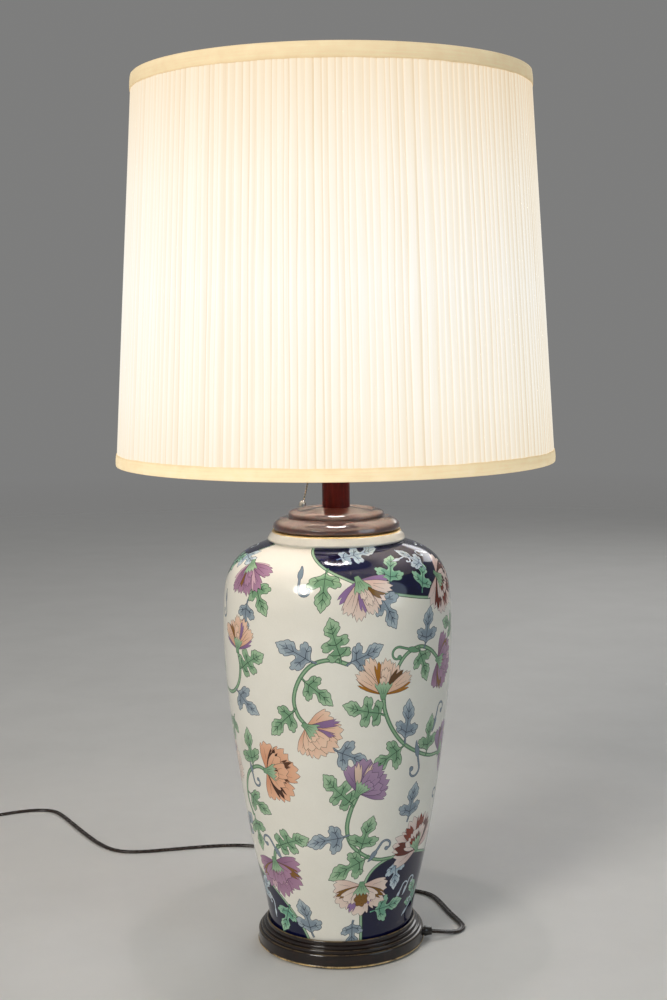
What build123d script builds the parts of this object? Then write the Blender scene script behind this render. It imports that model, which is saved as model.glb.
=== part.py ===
from build123d import *
import math
import os

# Table lamp: turned wood foot, glazed ceramic vase, turned cap, neck, pull-chain
# socket, harp and pleated shade.  Millimetres, +Z up, origin under the foot's centre.
# The front of the lamp faces -Y; the lead leaves the foot on +X.

# ---------------------------------------------------------------- driving dimensions
FELT_R, FELT_T = 71.5, 1.6              # pad under the foot
BASE_R = 74.9                           # foot, widest
SEAT_Z = 19.0                           # vase seat in the foot
LIP_Z = 22.5                            # lip round the vase
CAVITY_R, CAVITY_Z = 46.0, 11.0         # hollow under the foot
BORE_Z = 15.0                           # counterbore for the nut

# vase outline, (z, r), foot to shoulder
VASE = [(19.4, 63.4), (45, 67.7), (75, 74.6), (110, 81.5), (150, 88.0), (190, 93.5),
        (225, 97.6), (255, 100.0), (283, 100.9), (305, 100.5), (320, 99.4), (332, 97.0),
        (342, 92.6), (350, 86.4), (356, 78.0), (360.4, 68.0), (362.6, 60.6)]
VASE_WALL = 5.0
VASE_FLOOR = 8.0
COLLAR_R, COLLAR_Z = 60.7, 365.8        # widest ring of the collar
RIM_R, RIM_Z = 56.2, 372.8              # mouth of the vase
MOUTH_R = 51.5

CAP_Z = 373.2                           # underside of the cap
CAP_R1, CAP_R2 = 55.6, 42.4             # two tiers of the cap
CAP_MID_Z, CAP_TOP_Z = 384.3, 390.6
NECK_Z = 392.4                          # seat of the neck on the cap
NECK_R, NECK_BORE, NECK_TOP = 12.1, 5.5, 470.0

PIPE_R, PIPE_BORE = 5.1, 3.5            # lamp pipe
PIPE_Z0, PIPE_Z1 = 9.0, 484.0

RING_T = 2.4                            # check ring on the neck
SADDLE_T, SADDLE_W, SADDLE_HALF = 2.0, 12.0, 28.0
HARP_ROD = 2.2                          # harp wire radius
HARP_FOOT_Z = 494.0                     # where wire meets saddle prong
HARP_TOP_Z = 737.0
SLEEVE_R, SLEEVE_BORE, SLEEVE_Z0, SLEEVE_LEN = 4.2, 2.62, 485.5, 17.0
SLEEVE_TRAVEL = 12.0

SOCKET_Z = 474.4                        # bottom of the socket cap
SHELL_R = 16.5
SHELL_Z0, SHELL_Z1 = 484.4, 536.0
DRUM_Z, DRUM_R, DRUM_PITCH = 502.0, 5.2, 6.366
CHAIN_R = 0.9
CHAIN_Z = DRUM_Z - DRUM_PITCH
GUIDE_END = -21.6
CHAIN_TRAVEL = 10.0

BULB_R, BULB_Z0, BULB_TOP = 30.0, 513.2, 622.0

SHADE_Z0, SHADE_Z1 = 433.0, 761.0       # shade rims
SHADE_R0, SHADE_R1 = 190.5, 169.8       # outer radius at the rims
FABRIC_SET = 0.5                        # fabric lies this far inside the trim
FABRIC_T, LINER_T = 1.6, 0.9
TRIM_T0, TRIM_T1 = 10.5, 12.6           # trim heights, lower and upper
HUB_Z = 743.3
WIRE_R = 1.6

CORD_R = 2.6                            # half the lead's width
EXIT_Y, EXIT_Z = -4.0, 6.0
COIL_C = (-434.0, 296.0)                # coil of spare lead
COIL_R0, COIL_R1, COIL_Z0, COIL_Z1 = 21.0, 38.2, 1.0, 9.4

# lead on the table, from inside its bushing to the coil
ROUTE = [(66, -4, 6.0), (83, -4.4, 6.0), (97, -1.6, 3.6), (108, 5.5, 2.62), (112.6, 16.5, 2.62),
         (109.2, 30, 2.62), (102.4, 50, 2.62), (96, 74, 2.62), (90.2, 93, 2.62), (80, 104, 2.62),
         (62, 111, 2.62), (36, 126, 2.62), (4, 158, 2.62), (-30, 196, 2.62), (-62, 229, 2.62),
         (-95, 246, 2.62), (-132, 245.5, 2.62), (-176, 236, 2.62), (-214, 227.5, 2.62),
         (-238, 232.5, 2.62), (-258, 255, 2.62), (-278, 288, 2.62), (-298, 324, 2.62),
         (-314, 353, 2.62), (-327, 371.5, 2.62), (-346, 375.5, 2.62), (-367, 370, 2.62),
         (-393, 356, 2.62), (-418, 342.5, 2.62), (-437, 334.2, 2.62)]

# ---------------------------------------------------------------- helpers


def profile(start, *segs):
    """Closed face in the X-Z plane: L line, A arc through a point, S spline."""
    edges, p = [], start
    for s in segs:
        if s[0] == "L":
            edges.append(Line(p, s[1]))
            p = s[1]
        elif s[0] == "A":
            edges.append(ThreePointArc(p, s[1], s[2]))
            p = s[2]
        else:
            edges.append(Spline(p, *s[1]))
            p = s[1][-1]
    if abs(p[0] - start[0]) + abs(p[1] - start[1]) > 1e-6:
        edges.append(Line(p, start))
    return Plane.XZ * make_face(edges)


def turned(start, *segs):
    return revolve(profile(start, *segs), Axis.Z)


def ring(r0, r1, z0, z1):
    """Plain tube between two radii."""
    return Pos(0, 0, (z0 + z1) / 2) * (Cylinder(r1, z1 - z0) - Cylinder(r0, z1 - z0 + 2))


def disc(r, z0, z1):
    return Pos(0, 0, (z0 + z1) / 2) * Cylinder(r, z1 - z0)


def bar(r, a, b):
    """Round bar between two points."""
    a, b = Vector(*a), Vector(*b)
    pl = Plane(a, z_dir=b - a)
    return extrude(pl * Circle(r), (b - a).length)


def corner_radii(pts):
    out = []
    for a, b, c in zip(pts, pts[1:], pts[2:]):
        u, v = Vector(*b) - Vector(*a), Vector(*c) - Vector(*b)
        turn = math.radians(u.get_angle(v))
        out.append(0.45 * min(u.length, v.length) / math.tan(turn / 2))
    return out


def tube(pts, r, name, radii=None):
    """Round tube along straight runs and tangent arcs."""
    radii = radii or corner_radii(pts)
    path = FilletPolyline(*pts, radius=radii)
    d0 = Vector(*pts[1]) - Vector(*pts[0])
    solid = sweep(Plane(Vector(*pts[0]), z_dir=d0) * Circle(r), path=path)
    length = sum(e.length for e in path.edges())
    print(f"{name}: length {length:.1f}, tightest radius {min(radii):.1f}, "
          f"volume ratio {solid.volume / (math.pi * r * r * length):.4f}")
    return solid


def shade_r(z):
    return SHADE_R0 + (SHADE_R1 - SHADE_R0) * (z - SHADE_Z0) / (SHADE_Z1 - SHADE_Z0)


def cone_shell(z0, z1, inset0, inset1):
    """Wall between two insets from the shade's outer surface."""
    return turned((shade_r(z0) - inset1, z0), ("L", (shade_r(z0) - inset0, z0)),
                  ("L", (shade_r(z1) - inset0, z1)), ("L", (shade_r(z1) - inset1, z1)))


parts = {}

# ---------------------------------------------------------------- foot
parts["base_felt"] = disc(FELT_R, 0, FELT_T)

plinth = turned(
    (CAVITY_R, FELT_T), ("L", (73.9, FELT_T)), ("A", (74.65, 1.95), (BASE_R, 2.6)),
    ("A", (74.75, 3.15), (74.3, 3.6)), ("L", (74.3, 11.0)), ("A", (73.7, 12.5), (72.2, 13.2)),
    ("L", (71.7, 13.3)), ("L", (71.7, 14.7)), ("A", (71.35, 15.55), (70.4, 15.9)),
    ("L", (69.1, 16.1)), ("L", (69.1, 17.6)), ("A", (68.75, 18.45), (67.9, 18.8)),
    ("L", (66.9, 19.0)), ("L", (66.9, 21.4)), ("A", (66.55, 22.2), (65.7, LIP_Z)),
    ("A", (64.8, 22.3), (64.3, 21.6)), ("L", (64.3, SEAT_Z)), ("L", (6.2, SEAT_Z)),
    ("L", (6.2, BORE_Z)), ("L", (20, BORE_Z)), ("L", (20, CAVITY_Z)), ("L", (CAVITY_R, CAVITY_Z)))
plinth -= bar(3.9, (30, EXIT_Y, EXIT_Z), (80, EXIT_Y, EXIT_Z))
parts["base_plinth"] = plinth

parts["bottom_washer"] = ring(5.4, 17.0, 13.5, BORE_Z)
nut = Pos(0, 0, 11.5) * extrude(RegularPolygon(9.5, 6), 2, both=True)
parts["bottom_nut"] = nut - disc(5.15, 8, 16)

# ---------------------------------------------------------------- vase
outer = [(r, z) for z, r in VASE]
inner = [(r - VASE_WALL, z) for z, r in VASE[1:-4]] + [(80.5, 346.0), (70.0, 353.0), (59.0, 357.4)]
vase = turned(
    (8.0, SEAT_Z), ("L", (62.4, SEAT_Z)), ("L", outer[0]), ("S", outer[1:]),
    ("A", (59.4, 363.3), (59.3, 364.1)), ("A", (60.35, 364.75), (COLLAR_R, COLLAR_Z)),
    ("S", [(59.3, 368.4), (57.6, 371.1), (RIM_R + 0.5, 372.1)]),
    ("A", (RIM_R + 0.1, 372.65), (RIM_R - 0.6, RIM_Z)), ("L", (MOUTH_R + 0.8, RIM_Z)),
    ("A", (MOUTH_R + 0.2, 372.5), (MOUTH_R, 372.0)), ("L", (MOUTH_R, 361.0)),
    ("A", (53.2, 358.6), (56.0, 358.0)), ("L", inner[-1]),
    ("S", inner[-2::-1]), ("L", (inner[0][0] - 2.5, SEAT_Z + VASE_FLOOR + 4)),
    ("L", (inner[0][0] - 7, SEAT_Z + VASE_FLOOR)), ("L", (8.0, SEAT_Z + VASE_FLOOR)))
parts["vase"] = vase

# ---------------------------------------------------------------- cap and neck
cap = turned(
    (5.4, 367.4), ("L", (49.5, 367.4)), ("L", (50.3, 368.2)), ("L", (50.3, CAP_Z)),
    ("L", (53.8, CAP_Z)), ("A", (55.15, 374.3), (CAP_R1, 376.0)),
    ("S", [(55.1, 378.4), (53.0, 381.0), (49.2, 383.1), (44.6, CAP_MID_Z)]),
    ("L", (43.2, CAP_MID_Z)), ("A", (42.5, 385.1), (CAP_R2, 385.9)),
    ("S", [(41.6, 388.0), (39.2, 389.8), (36.4, CAP_TOP_Z - 0.1)]),
    ("A", (34.4, CAP_TOP_Z - 0.1), (32.6, 389.7)), ("L", (31.2, 389.1)),
    ("S", [(27.0, 389.7), (21.0, 390.8), (16.0, 391.8), (13.2, NECK_Z)]), ("L", (5.4, NECK_Z)))
parts["vase_cap"] = cap
parts["neck_tube"] = turned(
    (NECK_BORE, NECK_Z), ("L", (NECK_R, NECK_Z)), ("L", (NECK_R, NECK_TOP - 0.8)),
    ("L", (NECK_R - 0.8, NECK_TOP)), ("L", (NECK_BORE, NECK_TOP)))
parts["lamp_pipe"] = ring(PIPE_BORE, PIPE_R, PIPE_Z0, PIPE_Z1)
parts["neck_check_ring"] = turned(
    (5.3, NECK_TOP), ("L", (13.6, NECK_TOP)), ("A", (14.3, NECK_TOP + 1.0), (13.2, NECK_TOP + 1.9)),
    ("L", (11.5, NECK_TOP + RING_T)), ("L", (5.3, NECK_TOP + RING_T)))

# ---------------------------------------------------------------- harp in the Y-Z plane
z0 = NECK_TOP + RING_T
strap = Pos(0, 0, z0 + SADDLE_T / 2) * Box(SADDLE_W, 2 * SADDLE_HALF, SADDLE_T)
for s in (-1, 1):
    up = Pos(0, s * (SADDLE_HALF - 1), (z0 + 484.0) / 2) * Box(SADDLE_W, 2, 484.0 - z0)
    tip = Pos(0, s * (SADDLE_HALF - 1), (484.0 + HARP_FOOT_Z) / 2) * Box(4.0, 2, HARP_FOOT_Z - 484.0)
    strap += up + tip
parts["harp_saddle"] = strap - disc(5.3, z0 - 1, z0 + 4)

Y0 = SADDLE_HALF - 1
half = [(Y0, HARP_FOOT_Z), (Y0, 524.0), (49.0, 562.0), (54.5, 612.0), (50.5, 664.0), (36.0, 708.0),
        (16.0, 731.0)]
pts = [(0, y, z) for y, z in half] + [(0, 0, HARP_TOP_Z + 1.2)] + [(0, -y, z) for y, z in half[::-1]]
wire = tube(pts, HARP_ROD, "harp")
parts["harp"] = wire + Pos(0, 0, 736.4) * Cylinder(6.0, 8.4)
parts["harp_stud"] = (disc(7.4, 740.6, 743.0) + disc(3.1, 743.0, 759.5))
for name, s in (("harp_sleeve_back", 1), ("harp_sleeve_front", -1)):
    sl = turned((SLEEVE_BORE, SLEEVE_Z0), ("L", (SLEEVE_R, SLEEVE_Z0)), ("L", (SLEEVE_R, SLEEVE_Z0 + 2)),
                ("L", (SLEEVE_R - 0.5, SLEEVE_Z0 + 3)), ("L", (SLEEVE_R - 0.5, SLEEVE_Z0 + SLEEVE_LEN - 1)),
                ("L", (SLEEVE_R - 1.0, SLEEVE_Z0 + SLEEVE_LEN)), ("L", (SLEEVE_BORE, SLEEVE_Z0 + SLEEVE_LEN)))
    parts[name] = Pos(0, s * Y0, 0) * sl

# ---------------------------------------------------------------- pull-chain socket
sock_cap = turned(
    (5.2, SOCKET_Z), ("L", (8.2, SOCKET_Z)), ("L", (8.2, 478.2)), ("S", [(11.0, 480.2), (15.4, 482.0), (17.7, 485.6)]),
    ("L", (17.7, 489.0)), ("L", (16.8, 489.0)), ("L", (16.8, 484.2)), ("L", (13.0, 482.0)), ("L", (5.2, 482.0)))
parts["socket_cap"] = sock_cap
guide_hole = bar(2.9, (-30, 0, CHAIN_Z), (-8, 0, CHAIN_Z))
shell = turned(
    (SHELL_R - 0.5, SHELL_Z0), ("L", (SHELL_R, SHELL_Z0)), ("L", (SHELL_R, SHELL_Z1 - 3)),
    ("A", (SHELL_R + 0.9, SHELL_Z1 - 1.8), (SHELL_R + 0.2, SHELL_Z1)), ("L", (SHELL_R - 0.5, SHELL_Z1)))
parts["socket_shell"] = shell - guide_hole
parts["socket_insulator"] = ring(15.2, 15.8, 486.0, 534.0) - guide_hole
body = disc(14.8, 489.2, 510.6) - disc(5.6, 480, 490.4)
body -= Pos(0, 0, 500) * Box(15.5, 8.4, 19.4)                       # room for the drum
body -= bar(1.7, (-20, 0, CHAIN_Z), (0, 0, CHAIN_Z))               # way out for the chain
body -= bar(2.9, (-20, 0, CHAIN_Z), (-12.6, 0, CHAIN_Z))           # seat of the guide
for s in (-1, 1):
    body -= Pos(0, s * 13.5, 494) * Box(30, 5.2, 20)               # flats for the terminals
body -= bar(1.28, (0, -9, DRUM_Z), (0, 9, DRUM_Z))
for s in (-1, 1):
    body -= bar(1.5, (4.0, s * 6.9, 496.0), (4.0, s * 12, 496.0))  # terminal threads
parts["socket_body"] = body
parts["socket_screw_shell"] = ring(13.35, 14.0, 511.6, 535.0)
parts["socket_center_contact"] = Pos(0, 0, 511.7) * Box(9, 4.5, 2.0)
screws = []
for s in (-1, 1):
    one = bar(1.45, (4.0, s * 7.1, 496.0), (4.0, s * 11.2, 496.0)) + \
        (bar(2.9, (4.0, s * 11.2, 496.0), (4.0, s * 12.9, 496.0)) -
         Pos(4.0, s * 12.7, 496.0) * Box(4.4, 0.9, 0.8))
    screws.append(one)
parts["terminal_screws"] = Compound(children=[x.solid() for x in screws])
guide_prof = profile((1.5, 0), ("L", (2.8, 0)), ("L", (2.8, 6.2)), ("A", (3.2, 7.6), (4.2, 8.6)),
                     ("L", (3.6, 8.8)), ("A", (2.2, 7.6), (1.5, 5.4)))
guide = revolve(guide_prof, Axis.Z)
parts["chain_guide"] = Pos(-12.8, 0, CHAIN_Z) * Rot(0, -90, 0) * guide
parts["drum_axle"] = bar(1.25, (0, -8.6, DRUM_Z), (0, 8.6, DRUM_Z))
drum = bar(DRUM_R, (0, -1.9, DRUM_Z), (0, 1.9, DRUM_Z)) - bar(1.32, (0, -4, DRUM_Z), (0, 4, DRUM_Z))
for k in range(6):
    a = math.radians(60 * k + 30)
    drum -= bar(0.8, (5.0 * math.cos(a), -3, DRUM_Z + 5.0 * math.sin(a)), (5.0 * math.cos(a), 3, DRUM_Z + 5.0 * math.sin(a)))
parts["switch_drum"] = drum
coil_path = Pos(0, 2.35, DRUM_Z) * Rot(-90, 0, 0) * Helix(pitch=0.75, height=1.3, radius=2.6)
spring = sweep(Plane(coil_path @ 0, z_dir=coil_path % 0) * Circle(0.26), path=coil_path, is_frenet=True)
parts["drum_spring"] = spring
leads = []
for s in (-1, 1):
    pts = [(0.6, s * 1.4, 484.2), (1.2, s * 3.0, 486.3), (3.0, s * 9.0, 485.9), (4.0, s * 12.1, 488.4), (4.0, s * 12.1, 493.0)]
    leads.append(tube(pts, 0.9, "lead_wire"))
parts["lead_wires"] = Compound(children=[x.solid() for x in leads])

# ---------------------------------------------------------------- bulb
parts["bulb_contact"] = turned((0, BULB_Z0), ("L", (4.0, BULB_Z0)), ("L", (5.2, 515.4)), ("L", (0, 515.4)))
parts["bulb_base"] = turned(
    (0, 515.4), ("L", (5.2, 515.4)), ("L", (9.0, 517.0)), ("L", (12.9, 519.6)), ("L", (12.9, 540.0)), ("L", (0, 540.0)))
glass = [(13.2, 540.0), (14.2, 547.0), (19.0, 558.0), (26.4, 573.0), (BULB_R, 591.0), (27.4, 606.0), (19.0, 617.4), (9.5, 621.2), (0, BULB_TOP)]
glass_in = [(12.2, 540.0), (13.2, 547.2), (18.0, 558.5), (25.4, 573.3), (BULB_R - 1, 591.0), (26.5, 605.5), (18.4, 616.4), (9.3, 620.2), (0, BULB_TOP - 1)]
parts["bulb_glass"] = turned(glass_in[0], ("L", glass[0]), ("S", glass[1:]), ("L", glass_in[-1]), ("S", glass_in[-2::-1]))

# ---------------------------------------------------------------- pull chain with its end bell
chain_pts = [(-1.0, 0, CHAIN_Z), (-24.6, 0, CHAIN_Z), (-24.9, 0, 462.0), (-24.5, 0, 434.0), (-25.4, 0, 412.0), (-28.79, 0, 397.6)]
parts["pull_chain"] = tube(chain_pts, CHAIN_R, "pull_chain", [5.4, 240.0, 110.0, 42.0])
bell = turned((1.1, 2.6), ("L", (1.5, 2.6)), ("S", [(2.7, 1.2), (3.2, -1.4), (3.35, -2.6)]), ("L", (2.6, -2.6)),
              ("S", [(2.0, -0.4), (0.0, 0.9)]), ("L", (0, 2.0)), ("L", (1.1, 2.0)))
parts["chain_bell"] = Pos(-29.3, 0, 395.5) * Rot(0, 14, 0) * bell

# ---------------------------------------------------------------- shade
parts["shade_fabric"] = cone_shell(SHADE_Z0 + 0.8, SHADE_Z1 - 0.8, FABRIC_SET, FABRIC_SET + FABRIC_T)
parts["shade_liner"] = cone_shell(SHADE_Z0 + 0.8, SHADE_Z1 - 0.8, FABRIC_SET + FABRIC_T, FABRIC_SET + FABRIC_T + LINER_T)


def trim(z_edge, z_far):
    """Tape folded over a rim: outside leg, edge, short inside leg."""
    up = 1 if z_far > z_edge else -1
    t, i0, i1 = 0.5, FABRIC_SET + FABRIC_T + LINER_T, FABRIC_SET + FABRIC_T + LINER_T + 0.5
    za = z_edge + up * 0.8
    return turned((shade_r(z_edge), z_edge), ("L", (shade_r(z_far), z_far)), ("L", (shade_r(z_far) - t, z_far)),
                  ("L", (shade_r(za) - t, za)), ("L", (shade_r(za) - i0, za)), ("L", (shade_r(z_edge + up * 6) - i0, z_edge + up * 6)),
                  ("L", (shade_r(z_edge + up * 6) - i1, z_edge + up * 6)), ("L", (shade_r(z_edge) - i1, z_edge)))


parts["shade_bottom_trim"] = trim(SHADE_Z0, SHADE_Z0 + TRIM_T0)
parts["shade_top_trim"] = trim(SHADE_Z1, SHADE_Z1 - TRIM_T1)
RIM_IN = FABRIC_SET + FABRIC_T + LINER_T + 0.5 + WIRE_R + 0.1
zt, zb = SHADE_Z1 - 3.6, SHADE_Z0 + 3.6
parts["shade_top_ring"] = Pos(0, 0, zt) * Torus(shade_r(zt) - RIM_IN, WIRE_R)
spider = ring(3.5, 9.2, HUB_Z, HUB_Z + 2.0)
for k in range(3):
    a = 90 + 120 * k
    pts = [(8.6, 0, HUB_Z + 1.0), (148.0, 0, HUB_Z + 1.0), (shade_r(zt) - RIM_IN, 0, zt)]
    spider += Rot(0, 0, a) * tube(pts, 1.5, "arm", [14.0])
parts["shade_spider"] = spider
parts["shade_bottom_ring"] = Pos(0, 0, zb) * Torus(shade_r(zb) - RIM_IN, WIRE_R)

# ---------------------------------------------------------------- finial
FZ = HUB_Z + 2.0 + 0.3
parts["finial_base"] = turned(
    (3.4, FZ), ("L", (8.0, FZ)), ("L", (8.0, FZ + 1.6)), ("A", (7.0, FZ + 2.6), (6.2, FZ + 3.6)),
    ("S", [(4.9, FZ + 6.0), (5.6, FZ + 9.0)]), ("L", (5.6, FZ + 10.0)), ("L", (3.4, FZ + 10.0)))
parts["finial_knob"] = turned(
    (3.4, FZ + 10.0), ("L", (5.6, FZ + 10.0)), ("S", [(8.0, FZ + 13.5), (8.6, FZ + 17.0), (7.0, FZ + 21.4), (3.4, FZ + 24.4), (0, FZ + 25.4)]),
    ("L", (0, FZ + 15.0)), ("L", (3.4, FZ + 15.0)))

# ---------------------------------------------------------------- lead
parts["cord_bushing"] = Pos(52.0, EXIT_Y, EXIT_Z) * Rot(0, 90, 0) * turned(
    (2.95, 0), ("L", (3.8, 0)), ("L", (3.8, 23.1)), ("L", (4.6, 23.1)), ("L", (4.6, 24.4)), ("S", [(4.1, 26.0), (3.5, 30.0)]), ("L", (2.95, 30.0)))
ic = [(65.7, EXIT_Y, EXIT_Z), (40.0, EXIT_Y + 0.6, EXIT_Z - 0.4), (16.0, EXIT_Y + 2.6, EXIT_Z - 0.6), (0.0, 0.0, EXIT_Z - 0.3), (0, 0, 36.0)]
ic_r = corner_radii(ic)
ic_r[-1] = 5.6
ic_r[-2] = min(ic_r[-2], 30.0)
low = tube(ic, 2.3, "inner_cord low", ic_r)
parts["inner_cord"] = low + disc(2.3, 36.0, 482.0)

radii = corner_radii(ROUTE)
print("cord radii", [round(x, 1) for x in radii])
parts["power_cord"] = tube([tuple(p) for p in ROUTE], CORD_R, "power_cord", radii)

cx, cy = COIL_C
coil_face = Plane.XZ * Pos((COIL_R0 + COIL_R1) / 2, (COIL_Z0 + COIL_Z1) / 2) * RectangleRounded(
    COIL_R1 - COIL_R0, COIL_Z1 - COIL_Z0, 3.6)
parts["cord_coil"] = Pos(cx, cy, 0) * revolve(coil_face, Axis.Z)
tie_w = COIL_R1 - COIL_R0 + 0.6
tie_h = COIL_Z1 - COIL_Z0 + 0.5
tie_face = RectangleRounded(tie_w + 1.4, tie_h + 1.4, 4.2) - RectangleRounded(tie_w, tie_h, 3.6)
parts["cord_tie"] = Pos(cx, cy, 0) * Rot(0, 0, -140) * Pos(0, (COIL_R0 + COIL_R1) / 2, (COIL_Z0 + COIL_Z1) / 2) * extrude(
    Plane.YZ * tie_face, 3.0, both=True)
# tail from the coil to the plug, plug lying on the table
tail = [(cx - 34.6, cy - 13.0, 3.4), (cx - 35.6, cy - 24.0, 3.6), (cx - 34.8, cy - 36.0, 6.0), (cx - 34.4, cy - 46.0, 8.2)]
parts["cord_tail"] = tube(tail, CORD_R, "cord_tail")
PLX, PLY, PLZ = cx - 34.4, cy - 46.7, 8.2
plug_sec = [Plane((PLX, PLY - d, PLZ), x_dir=(1, 0, 0), z_dir=(0, -1, 0)) for d in (0, 12, 26)]
plug = loft([plug_sec[0] * RectangleRounded(9, 8, 2.5), plug_sec[1] * RectangleRounded(20, 14, 4.0), plug_sec[2] * RectangleRounded(24, 16.2, 4.0)])
blades = []
for s in (-1, 1):
    blades.append(Pos(PLX + s * 6.35, PLY - 26 - 8.6, PLZ) * Box(1.5, 17.2, 6.4))
parts["plug_body"] = plug
parts["plug_blades"] = Compound(children=[x.solid() for x in blades])

# ---------------------------------------------------------------- export
os.makedirs("parts", exist_ok=True)
for name, shape in parts.items():
    export_step(shape, f"parts/{name}.step")
print(len(parts), "nodes")
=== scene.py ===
"""Table lamp: printed porcelain vase on a turned foot, pull-chain socket, pleated drum shade. Metres, +Z up."""
import math
import bpy
import bmesh
import numpy as np
from mathutils import Matrix, Vector
from mathutils import geometry as mgeo
from mathutils.bvhtree import BVHTree


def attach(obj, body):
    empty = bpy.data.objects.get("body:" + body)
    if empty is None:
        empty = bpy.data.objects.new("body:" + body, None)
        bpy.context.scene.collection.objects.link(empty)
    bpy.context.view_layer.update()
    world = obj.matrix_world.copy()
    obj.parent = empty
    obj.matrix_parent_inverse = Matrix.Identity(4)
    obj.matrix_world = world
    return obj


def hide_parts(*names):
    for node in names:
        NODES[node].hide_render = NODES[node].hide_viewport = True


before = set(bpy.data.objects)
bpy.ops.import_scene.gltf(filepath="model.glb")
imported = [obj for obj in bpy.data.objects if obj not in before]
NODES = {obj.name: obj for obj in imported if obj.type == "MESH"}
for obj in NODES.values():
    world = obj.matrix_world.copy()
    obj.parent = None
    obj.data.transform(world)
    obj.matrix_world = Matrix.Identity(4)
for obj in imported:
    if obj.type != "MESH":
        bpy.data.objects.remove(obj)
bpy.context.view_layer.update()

scene = bpy.context.scene
MM = 0.001


def link(ob):
    scene.collection.objects.link(ob)
    return ob


# ------------------------------------------------------------------ drawing on the vase

# ---- vase outline (mm), foot to shoulder: z, r
VASE = [(19.4, 63.4), (45, 67.7), (75, 74.6), (110, 81.5), (150, 88.0), (190, 93.5),
        (225, 97.6), (255, 100.0), (283, 100.9), (305, 100.5), (320, 99.4), (332, 97.0),
        (342, 92.6), (350, 86.4), (356, 78.0), (360.4, 68.0), (362.6, 60.6)]
RREF = 95.0


def smooth_line(pts, per=12):
    """Centripetal Catmull-Rom through points."""
    P = np.asarray(pts, float)
    P = np.vstack([2 * P[0] - P[1], P, 2 * P[-1] - P[-2]])
    out = []
    for i in range(1, len(P) - 2):
        p0, p1, p2, p3 = P[i - 1:i + 3]
        t0 = 0.0
        t1 = t0 + max(np.linalg.norm(p1 - p0), 1e-6) ** 0.5
        t2 = t1 + max(np.linalg.norm(p2 - p1), 1e-6) ** 0.5
        t3 = t2 + max(np.linalg.norm(p3 - p2), 1e-6) ** 0.5
        for t in np.linspace(t1, t2, per, endpoint=False):
            a1 = (t1 - t) / (t1 - t0) * p0 + (t - t0) / (t1 - t0) * p1
            a2 = (t2 - t) / (t2 - t1) * p1 + (t - t1) / (t2 - t1) * p2
            a3 = (t3 - t) / (t3 - t2) * p2 + (t - t2) / (t3 - t2) * p3
            b1 = (t2 - t) / (t2 - t0) * a1 + (t - t0) / (t2 - t0) * a2
            b2 = (t3 - t) / (t3 - t1) * a2 + (t - t1) / (t3 - t1) * a3
            out.append((t2 - t) / (t2 - t1) * b1 + (t - t1) / (t2 - t1) * b2)
    out.append(P[-2])
    return np.array(out)


_fine = smooth_line([(r, z) for z, r in VASE], 40)
_arc = np.concatenate([[0], np.cumsum(np.linalg.norm(np.diff(_fine, axis=0), axis=1))])
T_TOP = float(_arc[-1])


def vase_r(t):
    return np.interp(t, _arc, _fine[:, 0])


def vase_z(t):
    return np.interp(t, _arc, _fine[:, 1])


def squeeze(t):
    return vase_r(t) / RREF


def srgb(*c):
    c = np.array(c, float) / 255.0
    return np.where(c <= 0.04045, c / 12.92, ((c + 0.055) / 1.055) ** 2.4)


WHITE = srgb(236, 233, 223)
INK = srgb(44, 50, 58)
PAL = {
    "green": (srgb(106, 150, 114), srgb(164, 194, 160), srgb(40, 66, 50)),
    "blue": (srgb(122, 138, 152), srgb(170, 184, 192), srgb(54, 64, 80)),
    "ice": (srgb(150, 174, 190), srgb(206, 220, 226), srgb(40, 50, 84)),
    "mint": (srgb(98, 158, 132), srgb(164, 206, 176), srgb(24, 48, 52)),
}
NAVY = srgb(11, 15, 54)
VINE = (srgb(104, 146, 110), srgb(48, 74, 58), srgb(150, 182, 148))
BLOOM = {  # root, tip, accent, heart, outline
    "peach": (srgb(222, 168, 138), srgb(238, 206, 182), srgb(146, 112, 160), srgb(146, 96, 34), srgb(92, 62, 54)),
    "gold": (srgb(228, 184, 156), srgb(238, 212, 192), srgb(174, 112, 22), srgb(100, 64, 24), srgb(92, 62, 50)),
    "coral": (srgb(214, 148, 112), srgb(232, 182, 150), srgb(92, 54, 30), srgb(70, 38, 22), srgb(84, 54, 42)),
    "lilac": (srgb(126, 98, 136), srgb(168, 140, 170), srgb(232, 204, 184), srgb(112, 70, 60), srgb(66, 50, 78)),
    "plum": (srgb(134, 92, 126), srgb(176, 136, 164), srgb(212, 176, 190), srgb(140, 96, 44), srgb(66, 44, 66)),
    "pink": (srgb(216, 186, 174), srgb(234, 216, 204), srgb(150, 118, 168), srgb(132, 92, 34), srgb(96, 70, 66)),
    "blush": (srgb(214, 184, 176), srgb(234, 218, 210), srgb(134, 44, 18), srgb(104, 32, 14), srgb(92, 64, 62)),
}


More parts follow.
